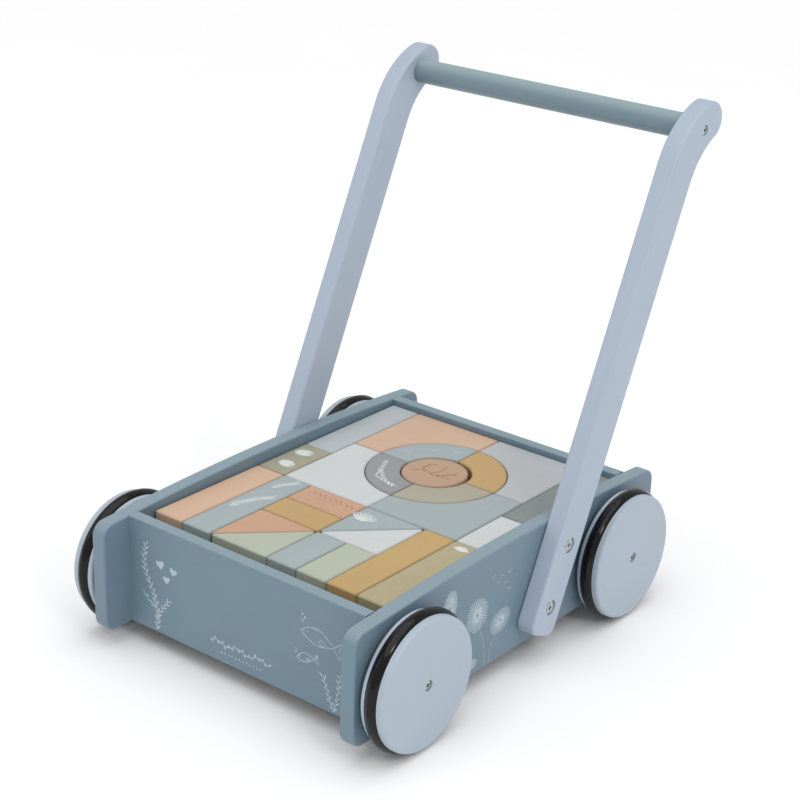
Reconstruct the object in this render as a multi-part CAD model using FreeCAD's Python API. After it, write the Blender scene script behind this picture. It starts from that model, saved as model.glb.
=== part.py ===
import FreeCAD, Part
import math
import os

from FreeCAD import Vector

# Block trolley for a child who is learning to walk: a shallow wooden tray on four wheels, a leaning
# push handle, and a set of building blocks that fills the tray.
# Millimetres. +X is the walker's right-hand side, the handle leans towards +Y, +Z is up.
# While it is built, Y starts at the front edge of the side panels; save() moves every piece so that
# the origin is on the ground under the middle of the whole walker.

# Block set: every block is cut on a square grid of this unit
UNIT = 32.0
BLOCKS_WIDE = 8
BLOCKS_DEEP = 10
BLOCK_HEIGHT = UNIT
BLOCK_INSET = 0.3
BLOCK_ROUND = 1.5
DISC_SIDE_GAP = 2.0
DISC_SHIFT = 0.9

# Tray
SIDE_THICKNESS = 14.0
END_THICKNESS = 11.0
TRAY_SIDE_GAP = 1.5
TRAY_FRONT_GAP = 17.0
TRAY_REAR_GAP = 0.5
END_RECESS = 29.0
SIDE_BOTTOM = 16.7
SIDE_TOP_AT_ENDS = 115.7
SIDE_ARCH = 7.6
SIDE_CORNER = 12.0
END_BOTTOM = 18.2
END_TOP = 118.0
EDGE_ROUND = 2.0
END_ROUND = 1.2
BLOCK_TOP = 112.8
FLOOR_THICKNESS = 9.0
FLOOR_CLEARANCE = 0.3

# Rails that carry the floor
RAIL_WIDTH = 15.0
RAIL_HEIGHT = 12.0
RAIL_START = 78.0
RAIL_END = 332.0
RAIL_SCREWS = 3
RAIL_SCREW_SHANK = 1.75
RAIL_SCREW_HEAD = 3.8
RAIL_SCREW_HEAD_HEIGHT = 2.4
RAIL_SCREW_LENGTH = 17.0

# Dowels between the end panels and the side panels
DOWEL_RADIUS = 3.0
DOWEL_IN_SIDE = 10.0
DOWEL_IN_END = 20.0
DOWEL_HEIGHTS = (38.0, 100.0)

# Wheels
WHEEL_RADIUS = 56.5
WHEEL_WIDTH = 22.5
WHEEL_ROUND = 2.6
WHEEL_GAP = 4.5
TYRE_SECTION = 7.0
TYRE_OUTER = 60.0
TYRE_OFFSET = -1.0
AXLE_HEIGHT = TYRE_OUTER
FRONT_AXLE_Y = 58.0
REAR_AXLE_Y = 349.0
AXLE_RADIUS = 3.0
AXLE_RUNNING_CLEARANCE = 0.05
AXLE_HEAD_RADIUS = 4.4
AXLE_HEAD_HEIGHT = 4.0
AXLE_RECESS_RADIUS = 4.7
AXLE_RECESS_DEPTH = 5.5
AXLE_END_PLAY = 0.3
AXLE_KEY_ACROSS = 3.0
SPACER_RADIUS = 9.0
SPACER_BORE = 3.2
TEE_FLANGE_RADIUS = 9.0
TEE_FLANGE_THICKNESS = 1.6
TEE_BARREL_RADIUS = 4.5
TEE_BARREL_LENGTH = 10.9

# Uprights of the handle, described along their own length (s) and across it (n, to the rear)
UPRIGHT_THICKNESS = 18.0
UPRIGHT_WIDTH = 35.0
UPRIGHT_LEAN = 24.4
UPRIGHT_BASE_Y = 224.9
UPRIGHT_BASE_Z = 29.2
UPRIGHT_ROUND = 2.5
UPRIGHT_FOOT_CORNER = 9.0
TIP_RADIUS = 16.5
TIP_S = 457.6
TIP_N = 22.2
FRONT_BEND = 82.6
REAR_BEND = 68.0
BAR_S = 447.4
BAR_N = 14.0
BAR_RADIUS = 11.0
BAR_SOCKET = 6.0
BAR_SCREW_LENGTH = 45.0
BAR_SCREW_HEAD = 4.2
BAR_SCREW_HEAD_HEIGHT = 3.0
BAR_RECESS_RADIUS = 4.6
BAR_RECESS_DEPTH = 3.6

# Connector bolts that hold the uprights to the side panels
CONNECTOR_S = (25.6, 81.0)
CONNECTOR_HEAD = 6.5
CONNECTOR_HEAD_HEIGHT = 1.8
CONNECTOR_RECESS = 7.0
CONNECTOR_RECESS_DEPTH = 2.6
CONNECTOR_RADIUS = 3.0
CONNECTOR_HOLE = 3.2
CAP_FLANGE = 6.5
CAP_FLANGE_THICKNESS = 1.6
CAP_BARREL = 4.2
CAP_BARREL_LENGTH = 11.0
CROSS_SLOT_LENGTH = 6.4
CROSS_SLOT_WIDTH = 1.5
CROSS_SLOT_DEPTH = 1.1

# Worked out from the sizes above
TRAY_HALF_WIDTH = BLOCKS_WIDE * UNIT / 2 + TRAY_SIDE_GAP
BOX_HALF_WIDTH = TRAY_HALF_WIDTH + SIDE_THICKNESS
TRAY_START = END_RECESS + END_THICKNESS
TRAY_LENGTH = TRAY_FRONT_GAP + BLOCKS_DEEP * UNIT + TRAY_REAR_GAP
TRAY_END = TRAY_START + TRAY_LENGTH
SIDE_LENGTH = TRAY_END + END_THICKNESS + END_RECESS
BLOCK_BOTTOM = BLOCK_TOP - BLOCK_HEIGHT
FLOOR_TOP = BLOCK_BOTTOM - FLOOR_CLEARANCE
FLOOR_BOTTOM = FLOOR_TOP - FLOOR_THICKNESS
BLOCKS_LEFT = -BLOCKS_WIDE * UNIT / 2
BLOCKS_FRONT = TRAY_START + TRAY_FRONT_GAP
UPRIGHT_OUTER = BOX_HALF_WIDTH + UPRIGHT_THICKNESS
WHEEL_INNER = BOX_HALF_WIDTH + WHEEL_GAP
WHEEL_OUTER = WHEEL_INNER + WHEEL_WIDTH
AXLE_HEAD_SEAT = WHEEL_OUTER - AXLE_RECESS_DEPTH + AXLE_END_PLAY
LEAN = math.radians(UPRIGHT_LEAN)

X_AXIS = Vector(1, 0, 0)
SIDES = {"left": -1, "right": 1}
AXLES = {"front": FRONT_AXLE_Y, "rear": REAR_AXLE_Y}


def upright_point(s, n):
    """A point of the upright's side view: s up its length, n across it towards the rear."""
    y = UPRIGHT_BASE_Y + s * math.sin(LEAN) + n * math.cos(LEAN)
    z = UPRIGHT_BASE_Z + s * math.cos(LEAN) - n * math.sin(LEAN)
    return Vector(0, y, z)


REAR_TIP_Y = upright_point(TIP_S, TIP_N).y + TIP_RADIUS
FRONT_TYRE_Y = FRONT_AXLE_Y - TYRE_OUTER
MIDDLE_Y = (REAR_TIP_Y + FRONT_TYRE_Y) / 2


def save(name, shape):
    """Write one piece, or one group of identical fasteners, as a STEP file."""
    placed = shape.translated(Vector(0, -MIDDLE_Y, 0))
    placed.exportStep("parts/" + name + ".step")


def box(x0, x1, y0, y1, z0, z1):
    """A box between two corners."""
    return Part.makeBox(x1 - x0, y1 - y0, z1 - z0, Vector(x0, y0, z0))


def rod(radius, x0, x1, y, z):
    """A round bar along X."""
    return Part.makeCylinder(radius, x1 - x0, Vector(x0, y, z), X_AXIS)


def prism(points, z0, z1):
    """An upright prism over a closed outline of (x, y) points."""
    corners = [Vector(x, y, z0) for x, y in points]
    outline = Part.makePolygon(corners + corners[:1])
    return Part.Face(outline).extrude(Vector(0, 0, z1 - z0))


def mirrored(shape):
    """The left-hand copy of a right-hand piece."""
    return shape.mirror(Vector(0, 0, 0), X_AXIS)


def on_side(shape, side):
    """A right-hand piece put on the named side."""
    return shape if SIDES[side] > 0 else mirrored(shape)


def both_sides(shapes):
    """A group of right-hand pieces together with their left-hand copies."""
    return Part.makeCompound(shapes + [mirrored(shape) for shape in shapes])


def hexagon_along_x(across, x0, x1, y, z):
    """A hexagonal bar along X, for a key socket."""
    corner = across / math.sqrt(3)
    points = []
    for step in range(6):
        angle = math.radians(60 * step)
        points.append(Vector(x0, y + corner * math.cos(angle), z + corner * math.sin(angle)))
    face = Part.Face(Part.makePolygon(points + points[:1]))
    return face.extrude(Vector(x1 - x0, 0, 0))


def arc(centre, start, end, mid_angle):
    """An arc in the YZ plane from start to end that passes the given angle about its centre."""
    radius = (start - centre).Length
    angle = math.radians(mid_angle)
    middle = centre + Vector(0, radius * math.cos(angle), radius * math.sin(angle))
    return Part.Arc(start, middle, end).toShape()


def angle_of(vector):
    """The direction of a vector in the YZ plane, in degrees."""
    return math.degrees(math.atan2(vector.z, vector.y))


def between(first, second):
    """The angle half way between two directions less than half a turn apart."""
    return first + ((second - first + 180) % 360 - 180) / 2


# ---------------------------------------------------------------- tray


def wheel_places():
    """The centre line of each axle as (Y, Z)."""
    return [(y, AXLE_HEIGHT) for y in AXLES.values()]


def connector_places():
    """The centre line of each connector bolt as (Y, Z)."""
    points = [upright_point(s, 0) for s in CONNECTOR_S]
    return [(point.y, point.z) for point in points]


def dowel_places():
    """The centre line of each dowel as (Y, Z)."""
    front = END_RECESS + END_THICKNESS / 2
    rear = TRAY_END + END_THICKNESS / 2
    return [(y, z) for y in (front, rear) for z in DOWEL_HEIGHTS]


def side_outline():
    """Side view of a side panel: straight below and at its ends, with a gently arched top edge."""
    front_foot = Vector(0, 0, SIDE_BOTTOM)
    rear_foot = Vector(0, SIDE_LENGTH, SIDE_BOTTOM)
    front_top = Vector(0, 0, SIDE_TOP_AT_ENDS)
    rear_top = Vector(0, SIDE_LENGTH, SIDE_TOP_AT_ENDS)
    crown = Vector(0, SIDE_LENGTH / 2, SIDE_TOP_AT_ENDS + SIDE_ARCH)
    edges = [
        Part.LineSegment(front_foot, front_top).toShape(),
        Part.Arc(front_top, crown, rear_top).toShape(),
        Part.LineSegment(rear_top, rear_foot).toShape(),
        Part.LineSegment(rear_foot, front_foot).toShape(),
    ]
    return Part.Wire(edges)


def side_panel():
    """Right-hand side board with rounded corners, drilled for axles, connectors and dowels."""
    board = Part.Face(side_outline()).extrude(Vector(SIDE_THICKNESS, 0, 0))
    board = board.translated(Vector(TRAY_HALF_WIDTH, 0, 0))
    corners = [edge for edge in board.Edges if abs(edge.Length - SIDE_THICKNESS) < 0.01]
    board = board.makeFillet(SIDE_CORNER, corners)
    rims = [edge for edge in board.Edges if edge.BoundBox.XLength < 0.01]
    board = board.makeFillet(EDGE_ROUND, rims)
    inner = TRAY_HALF_WIDTH
    for y, z in wheel_places():
        barrel_end = inner + TEE_FLANGE_THICKNESS + TEE_BARREL_LENGTH
        board = board.cut(rod(TEE_FLANGE_RADIUS, inner, inner + TEE_FLANGE_THICKNESS, y, z))
        board = board.cut(rod(TEE_BARREL_RADIUS, inner, barrel_end, y, z))
        board = board.cut(rod(SPACER_BORE, inner, BOX_HALF_WIDTH, y, z))
    for y, z in connector_places():
        barrel_end = inner + CAP_FLANGE_THICKNESS + CAP_BARREL_LENGTH
        board = board.cut(rod(CAP_FLANGE, inner, inner + CAP_FLANGE_THICKNESS, y, z))
        board = board.cut(rod(CAP_BARREL, inner, barrel_end, y, z))
        board = board.cut(rod(CONNECTOR_HOLE, inner, BOX_HALF_WIDTH, y, z))
    for y, z in dowel_places():
        board = board.cut(rod(DOWEL_RADIUS, inner, inner + DOWEL_IN_SIDE, y, z))
    return board


def end_panel(y0):
    """Board across the tray's front or rear, let in between the side panels on dowels."""
    board = box(-TRAY_HALF_WIDTH, TRAY_HALF_WIDTH, y0, y0 + END_THICKNESS, END_BOTTOM, END_TOP)
    long_edges = [edge for edge in board.Edges if edge.BoundBox.XLength > 1]
    board = board.makeFillet(END_ROUND, long_edges)
    for y, z in dowel_places():
        if y0 < y < y0 + END_THICKNESS:
            depth = TRAY_HALF_WIDTH - DOWEL_IN_END
            board = board.cut(rod(DOWEL_RADIUS, depth, TRAY_HALF_WIDTH, y, z))
            board = board.cut(rod(DOWEL_RADIUS, -TRAY_HALF_WIDTH, -depth, y, z))
    return board


def dowels():
    """The dowels of both end panels."""
    inner = TRAY_HALF_WIDTH - DOWEL_IN_END
    outer = TRAY_HALF_WIDTH + DOWEL_IN_SIDE
    return both_sides([rod(DOWEL_RADIUS, inner, outer, y, z) for y, z in dowel_places()])


def rail_screw_places():
    """Where each rail screw stands, as Y."""
    step = (RAIL_END - RAIL_START) / RAIL_SCREWS
    return [RAIL_START + step * (number + 0.5) for number in range(RAIL_SCREWS)]


def floor_rail():
    """Right-hand batten under the tray floor, drilled for its screws."""
    inner = TRAY_HALF_WIDTH - RAIL_WIDTH
    low = FLOOR_BOTTOM - RAIL_HEIGHT
    rail = box(inner, TRAY_HALF_WIDTH, RAIL_START, RAIL_END, low, FLOOR_BOTTOM)
    for screw in rail_screw_solids():
        rail = rail.cut(screw)
    return rail


def rail_screw_solids():
    """The right-hand rail's countersunk screws, driven up into the floor."""
    x = TRAY_HALF_WIDTH - RAIL_WIDTH / 2
    low = FLOOR_BOTTOM - RAIL_HEIGHT
    screws = []
    for y in rail_screw_places():
        head = Part.makeCone(
            RAIL_SCREW_HEAD, RAIL_SCREW_SHANK, RAIL_SCREW_HEAD_HEIGHT, Vector(x, y, low)
        )
        shank = Part.makeCylinder(RAIL_SCREW_SHANK, RAIL_SCREW_LENGTH, Vector(x, y, low))
        screws.append(head.fuse(shank).removeSplitter())
    return screws


def tray_floor():
    """Board that the blocks stand on, drilled for the rail screws."""
    floor = box(
        -TRAY_HALF_WIDTH, TRAY_HALF_WIDTH, TRAY_START, TRAY_END, FLOOR_BOTTOM, FLOOR_TOP
    )
    for screw in rail_screw_solids():
        floor = floor.cut(screw).cut(mirrored(screw))
    return floor


# -------------------------------------------------------------- wheels


def tyre_centre_x():
    """X of the tyre's middle plane."""
    return (WHEEL_INNER + WHEEL_OUTER) / 2 + TYRE_OFFSET


def tyre(y):
    """Right-hand round rubber ring, seated in the wheel's rim."""
    ring_radius = TYRE_OUTER - TYRE_SECTION
    centre = Vector(tyre_centre_x(), y, AXLE_HEIGHT)
    return Part.makeTorus(ring_radius, TYRE_SECTION, centre, X_AXIS)


def wheel(y):
    """Right-hand wooden disc with a rim groove, a bore and a recess for the bolt's head."""
    disc = rod(WHEEL_RADIUS, WHEEL_INNER, WHEEL_OUTER, y, AXLE_HEIGHT)
    rims = [edge for edge in disc.Edges if edge.BoundBox.XLength < 0.01]
    disc = disc.makeFillet(WHEEL_ROUND, rims)
    disc = disc.cut(tyre(y))
    bore = AXLE_RADIUS + AXLE_RUNNING_CLEARANCE
    disc = disc.cut(rod(bore, WHEEL_INNER, WHEEL_OUTER, y, AXLE_HEIGHT))
    floor = WHEEL_OUTER - AXLE_RECESS_DEPTH
    return disc.cut(rod(AXLE_RECESS_RADIUS, floor, WHEEL_OUTER, y, AXLE_HEIGHT))


def axle_bolt(y):
    """Right-hand socket-head bolt that the wheel turns on."""
    head_end = AXLE_HEAD_SEAT + AXLE_HEAD_HEIGHT
    shank = rod(AXLE_RADIUS, TRAY_HALF_WIDTH, AXLE_HEAD_SEAT, y, AXLE_HEIGHT)
    head = rod(AXLE_HEAD_RADIUS, AXLE_HEAD_SEAT, head_end, y, AXLE_HEIGHT)
    socket_floor = AXLE_HEAD_SEAT + AXLE_HEAD_HEIGHT / 2
    key = hexagon_along_x(AXLE_KEY_ACROSS, socket_floor, head_end, y, AXLE_HEIGHT)
    return shank.fuse(head).cut(key).removeSplitter()


def axle_tee_nut(y):
    """Right-hand flanged nut let into the inner face of the side panel."""
    inner = TRAY_HALF_WIDTH
    flange = rod(TEE_FLANGE_RADIUS, inner, inner + TEE_FLANGE_THICKNESS, y, AXLE_HEIGHT)
    barrel_end = inner + TEE_FLANGE_THICKNESS + TEE_BARREL_LENGTH
    barrel = rod(TEE_BARREL_RADIUS, inner, barrel_end, y, AXLE_HEIGHT)
    thread = rod(AXLE_RADIUS, inner, barrel_end, y, AXLE_HEIGHT)
    return flange.fuse(barrel).cut(thread).removeSplitter()


def wheel_spacer(y):
    """Right-hand sleeve that keeps the wheel off the side panel."""
    end = WHEEL_INNER - AXLE_END_PLAY
    sleeve = rod(SPACER_RADIUS, BOX_HALF_WIDTH, end, y, AXLE_HEIGHT)
    return sleeve.cut(rod(SPACER_BORE, BOX_HALF_WIDTH, end, y, AXLE_HEIGHT))


# -------------------------------------------------------------- handle


def upright_outline():
    """Side view of an upright: a straight leaning bar whose head bends back to a round tip."""
    half = UPRIGHT_WIDTH / 2
    tip = upright_point(TIP_S, TIP_N)

    front_reach = TIP_N + half
    front_run = math.sqrt((FRONT_BEND - TIP_RADIUS) ** 2 - (FRONT_BEND - front_reach) ** 2)
    front_s = TIP_S - front_run
    front_centre = upright_point(front_s, FRONT_BEND - half)
    front_leave = upright_point(front_s, -half)
    outward = (tip - front_centre).normalize()
    front_join = tip + outward * TIP_RADIUS

    rear_reach = TIP_N - half
    rear_run = math.sqrt((REAR_BEND + TIP_RADIUS) ** 2 - (REAR_BEND - rear_reach) ** 2)
    rear_s = TIP_S - rear_run
    rear_centre = upright_point(rear_s, half + REAR_BEND)
    rear_leave = upright_point(rear_s, half)
    inward = (rear_centre - tip).normalize()
    rear_join = tip + inward * TIP_RADIUS

    foot = UPRIGHT_FOOT_CORNER
    front_foot = upright_point(foot, foot - half)
    rear_foot = upright_point(foot, half - foot)
    front_side = upright_point(foot, -half)
    front_base = upright_point(0, foot - half)
    rear_base = upright_point(0, half - foot)
    rear_side = upright_point(foot, half)

    front_mid = between(angle_of(front_leave - front_centre), angle_of(front_join - front_centre))
    tip_mid = angle_of(front_join - tip) - 90
    rear_mid = between(angle_of(rear_join - rear_centre), angle_of(rear_leave - rear_centre))
    rear_foot_mid = between(angle_of(rear_side - rear_foot), angle_of(rear_base - rear_foot))
    front_foot_mid = between(angle_of(front_base - front_foot), angle_of(front_side - front_foot))

    edges = [
        Part.LineSegment(front_side, front_leave).toShape(),
        arc(front_centre, front_leave, front_join, front_mid),
        arc(tip, front_join, rear_join, tip_mid),
        arc(rear_centre, rear_join, rear_leave, rear_mid),
        Part.LineSegment(rear_leave, rear_side).toShape(),
        arc(rear_foot, rear_side, rear_base, rear_foot_mid),
        Part.LineSegment(rear_base, front_base).toShape(),
        arc(front_foot, front_base, front_side, front_foot_mid),
    ]
    return Part.Wire(edges)


def bar_place():
    """The crossbar's centre line as (Y, Z)."""
    point = upright_point(BAR_S, BAR_N)
    return point.y, point.z


def upright():
    """Right-hand upright, bored for its connector bolts and for the crossbar."""
    face = Part.Face(upright_outline())
    board = face.extrude(Vector(UPRIGHT_THICKNESS, 0, 0)).translated(Vector(BOX_HALF_WIDTH, 0, 0))
    rims = [edge for edge in board.Edges if edge.BoundBox.XLength < 0.01]
    board = board.makeFillet(UPRIGHT_ROUND, rims)
    outer = UPRIGHT_OUTER
    for y, z in connector_places():
        board = board.cut(rod(CONNECTOR_RECESS, outer - CONNECTOR_RECESS_DEPTH, outer, y, z))
        board = board.cut(rod(CONNECTOR_HOLE, BOX_HALF_WIDTH, outer, y, z))
    y, z = bar_place()
    board = board.cut(rod(BAR_RADIUS, BOX_HALF_WIDTH, BOX_HALF_WIDTH + BAR_SOCKET, y, z))
    board = board.cut(rod(BAR_RECESS_RADIUS, outer - BAR_RECESS_DEPTH, outer, y, z))
    return board.cut(rod(CONNECTOR_HOLE, BOX_HALF_WIDTH, outer, y, z))


def crossbar():
    """Round push bar let into both uprights, bored at each end for its screw."""
    end = BOX_HALF_WIDTH + BAR_SOCKET
    y, z = bar_place()
    bar = rod(BAR_RADIUS, -end, end, y, z)
    depth = UPRIGHT_OUTER - BAR_RECESS_DEPTH - BAR_SCREW_LENGTH
    bar = bar.cut(rod(CONNECTOR_RADIUS, depth, end, y, z))
    return bar.cut(rod(CONNECTOR_RADIUS, -end, -depth, y, z))


def crossbar_screw():
    """Right-hand recessed socket screw into the end of the crossbar."""
    y, z = bar_place()
    seat = UPRIGHT_OUTER - BAR_RECESS_DEPTH
    head_end = seat + BAR_SCREW_HEAD_HEIGHT
    head = rod(BAR_SCREW_HEAD, seat, head_end, y, z)
    shank = rod(CONNECTOR_RADIUS, seat - BAR_SCREW_LENGTH, seat, y, z)
    key = hexagon_along_x(AXLE_KEY_ACROSS, seat + BAR_SCREW_HEAD_HEIGHT / 2, head_end, y, z)
    return head.fuse(shank).cut(key).removeSplitter()


def connector_bolt(y, z):
    """Right-hand flat cross-head bolt through an upright and its side panel."""
    seat = UPRIGHT_OUTER - CONNECTOR_RECESS_DEPTH
    head_end = seat + CONNECTOR_HEAD_HEIGHT
    head = rod(CONNECTOR_HEAD, seat, head_end, y, z)
    shank = rod(CONNECTOR_RADIUS, TRAY_HALF_WIDTH + CAP_FLANGE_THICKNESS, seat, y, z)
    slot_floor = head_end - CROSS_SLOT_DEPTH
    long = CROSS_SLOT_LENGTH / 2
    wide = CROSS_SLOT_WIDTH / 2
    flat_slot = box(slot_floor, head_end, y - long, y + long, z - wide, z + wide)
    upright_slot = box(slot_floor, head_end, y - wide, y + wide, z - long, z + long)
    return head.fuse(shank).cut(flat_slot).cut(upright_slot).removeSplitter()


def connector_cap_nut(y, z):
    """Right-hand sleeve nut let into the inner face of the side panel."""
    inner = TRAY_HALF_WIDTH
    flange = rod(CAP_FLANGE, inner, inner + CAP_FLANGE_THICKNESS, y, z)
    barrel_end = inner + CAP_FLANGE_THICKNESS + CAP_BARREL_LENGTH
    barrel = rod(CAP_BARREL, inner, barrel_end, y, z)
    thread = rod(CONNECTOR_RADIUS, inner + CAP_FLANGE_THICKNESS, barrel_end, y, z)
    return flange.fuse(barrel).cut(thread).removeSplitter()


# -------------------------------------------------------------- blocks


def grid_x(column):
    """X of a grid line, counted from the left."""
    return BLOCKS_LEFT + column * UNIT


def grid_y(row):
    """Y of a grid line, counted from the front."""
    return BLOCKS_FRONT + row * UNIT


def rounded_block(shape):
    """A block with all its edges eased."""
    return shape.makeFillet(BLOCK_ROUND, shape.Edges)


def grid_box(column0, row0, column1, row1):
    """A square-cornered block between grid lines, a little smaller than its place."""
    return box(
        grid_x(column0) + BLOCK_INSET,
        grid_x(column1) - BLOCK_INSET,
        grid_y(row0) + BLOCK_INSET,
        grid_y(row1) - BLOCK_INSET,
        BLOCK_BOTTOM,
        BLOCK_TOP,
    )


def triangle(column0, row0, column1, row1, front_right):
    """One half of a square place, cut along the diagonal from front left to rear right."""
    x0 = grid_x(column0) + BLOCK_INSET
    x1 = grid_x(column1) - BLOCK_INSET
    y0 = grid_y(row0) + BLOCK_INSET
    y1 = grid_y(row1) - BLOCK_INSET
    kerf = BLOCK_INSET * math.sqrt(2)
    if front_right:
        points = [(x0 + kerf, y0), (x1, y0), (x1, y1 - kerf)]
    else:
        points = [(x0, y0 + kerf), (x1 - kerf, y1), (x0, y1)]
    return prism(points, BLOCK_BOTTOM, BLOCK_TOP)


# The round group in the tray: four notched squares about a ring of four quarters and a disc
ROUND_COLUMN = 4
ROUND_ROW = 7
QUARTERS = {
    "front_left": (-1, -1),
    "rear_left": (-1, 1),
    "rear_right": (1, 1),
    "front_right": (1, -1),
}


def round_cylinder(radius):
    """An upright cylinder about the middle of the round group."""
    centre = Vector(grid_x(ROUND_COLUMN), grid_y(ROUND_ROW), BLOCK_BOTTOM)
    return Part.makeCylinder(radius, BLOCK_HEIGHT, centre)


def quarter_box(quarter, units):
    """The square of the given size in one quarter about the round group's middle."""
    along_x, along_y = QUARTERS[quarter]
    columns = sorted((ROUND_COLUMN, ROUND_COLUMN + along_x * units))
    rows = sorted((ROUND_ROW, ROUND_ROW + along_y * units))
    return grid_box(columns[0], rows[0], columns[1], rows[1])


def notched_square(quarter):
    """A three-unit square with a quarter circle of two units cut from its inner corner."""
    return quarter_box(quarter, 3).cut(round_cylinder(2 * UNIT + BLOCK_INSET))


def ring_quarter(quarter):
    """A quarter of the ring between one and two units from the middle."""
    ring = round_cylinder(2 * UNIT - BLOCK_INSET).cut(round_cylinder(UNIT + BLOCK_INSET))
    return ring.common(quarter_box(quarter, 2))


def centre_disc():
    """The loose disc inside the ring, lying a little off centre."""
    disc = round_cylinder(UNIT - DISC_SIDE_GAP)
    return disc.translated(Vector(-DISC_SHIFT, -DISC_SHIFT, 0))


def make_blocks():
    """Every block of the set by name."""
    return {
        "block_long_peach": grid_box(0, 0, 1, 4),
        "block_long_blue": grid_box(1, 0, 2, 4),
        "block_long_mustard": grid_box(6, 0, 7, 4),
        "block_long_sand": grid_box(7, 0, 8, 4),
        "block_long_mist": grid_box(0, 6, 1, 10),
        "block_long_olive": grid_box(7, 6, 8, 10),
        "block_short_olive": grid_box(0, 4, 1, 6),
        "block_short_white": grid_box(7, 4, 8, 6),
        "block_short_blue": grid_box(4, 0, 5, 2),
        "block_short_green": grid_box(5, 0, 6, 2),
        "block_bar_peach": grid_box(2, 3, 4, 4),
        "block_bar_mustard": grid_box(2, 2, 4, 3),
        "block_triangle_peach": triangle(2, 0, 4, 2, False),
        "block_triangle_green": triangle(2, 0, 4, 2, True),
        "block_triangle_blue": triangle(4, 2, 6, 4, False),
        "block_triangle_white": triangle(4, 2, 6, 4, True),
        "block_notch_white": notched_square("front_left"),
        "block_notch_peach": notched_square("rear_left"),
        "block_notch_lilac": notched_square("rear_right"),
        "block_notch_blue": notched_square("front_right"),
        "block_ring_charcoal": ring_quarter("front_left"),
        "block_ring_blue": ring_quarter("rear_left"),
        "block_ring_mustard": ring_quarter("rear_right"),
        "block_ring_sand": ring_quarter("front_right"),
        "block_disc_peach": centre_disc(),
    }


def main():
    """Build every piece and write it."""
    os.makedirs("parts", exist_ok=True)

    for side in SIDES:
        save("side_panel_" + side, on_side(side_panel(), side))
        save("floor_rail_" + side, on_side(floor_rail(), side))
        save("upright_" + side, on_side(upright(), side))
    save("front_panel", end_panel(END_RECESS))
    save("rear_panel", end_panel(TRAY_END))
    save("tray_floor", tray_floor())
    save("panel_dowels", dowels())
    save("rail_screws", both_sides(rail_screw_solids()))

    for end, y in AXLES.items():
        for side in SIDES:
            place = end + "_" + side
            save("wheel_" + place, on_side(wheel(y), side))
            save("tyre_" + place, on_side(tyre(y), side))
            save("axle_bolt_" + place, on_side(axle_bolt(y), side))
    save("axle_tee_nuts", both_sides([axle_tee_nut(y) for y in AXLES.values()]))
    save("wheel_spacers", both_sides([wheel_spacer(y) for y in AXLES.values()]))

    save("crossbar", crossbar())
    save("crossbar_screws", both_sides([crossbar_screw()]))
    save("connector_bolts", both_sides([connector_bolt(y, z) for y, z in connector_places()]))
    save("connector_cap_nuts", both_sides([connector_cap_nut(y, z) for y, z in connector_places()]))

    for name, shape in make_blocks().items():
        save(name, rounded_block(shape))


main()
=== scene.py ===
import logging
import math
from dataclasses import dataclass
from enum import Enum
from typing import Any

import bmesh
import bpy
from mathutils import Matrix, Quaternion, Vector


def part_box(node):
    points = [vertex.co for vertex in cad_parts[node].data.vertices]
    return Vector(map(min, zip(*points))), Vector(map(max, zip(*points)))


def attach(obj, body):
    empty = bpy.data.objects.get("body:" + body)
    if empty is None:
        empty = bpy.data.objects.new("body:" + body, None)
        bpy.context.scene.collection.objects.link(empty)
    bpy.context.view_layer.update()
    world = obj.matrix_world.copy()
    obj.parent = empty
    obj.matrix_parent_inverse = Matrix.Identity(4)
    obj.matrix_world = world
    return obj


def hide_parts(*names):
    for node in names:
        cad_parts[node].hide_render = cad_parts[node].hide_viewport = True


# A wooden push-along walker: a shallow tray of building blocks on four rubber-tyred wheels, with a
# leaning handle. Metres. +X is the walker's right-hand side, the handle leans towards +Y, +Z is up.

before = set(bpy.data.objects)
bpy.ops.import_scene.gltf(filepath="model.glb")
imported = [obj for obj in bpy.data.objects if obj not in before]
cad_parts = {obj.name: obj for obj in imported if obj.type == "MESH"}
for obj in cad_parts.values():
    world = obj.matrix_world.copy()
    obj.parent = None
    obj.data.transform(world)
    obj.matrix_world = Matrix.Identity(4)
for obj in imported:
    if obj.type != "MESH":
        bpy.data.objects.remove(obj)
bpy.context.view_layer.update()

MM = 0.001
CHASSIS = "chassis"
LOG = logging.getLogger("block_walker")

Point = tuple[float, float]
Stroke = list[Point]
Colour = tuple[float, float, float, float]


# ------------------------------------------------------------------ tools


def linear(colour: str) -> Colour:
    """Turns an sRGB hex colour to linear.

    Args:
        colour: "#rrggbb".

    Returns:
        Linear red, green, blue and an alpha of 1.
    """
    channels = []
    for start in (1, 3, 5):
        value = int(colour[start:start + 2], 16) / 255
        channels.append(value / 12.92 if value <= 0.04045 else ((value + 0.055) / 1.055) ** 2.4)
    return channels[0], channels[1], channels[2], 1.0


def toned(colour: str, strength: float) -> Colour:
    """A hex colour made linear and then darker or lighter by a factor."""
    red, green, blue, alpha = linear(colour)
    return red * strength, green * strength, blue * strength, alpha


def add_node(
    tree: bpy.types.NodeTree,
    kind: str,
    inputs: dict[str | int, Any] | None = None,
    **settings: Any,
) -> bpy.types.Node:
    """Adds one node to a tree.

    Args:
        tree: The tree it goes in.
        kind: The node's type name.
        inputs: What each input socket gets: a constant, or the output to link to it.
        **settings: The node's own properties.

    Returns:
        The new node.
    """
    node = tree.nodes.new(kind)
    for name, value in settings.items():
        setattr(node, name, value)
    for socket, source in (inputs or {}).items():
        if isinstance(source, bpy.types.NodeSocket):
            tree.links.new(source, node.inputs[socket])
        else:
            node.inputs[socket].default_value = source
    return node


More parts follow.
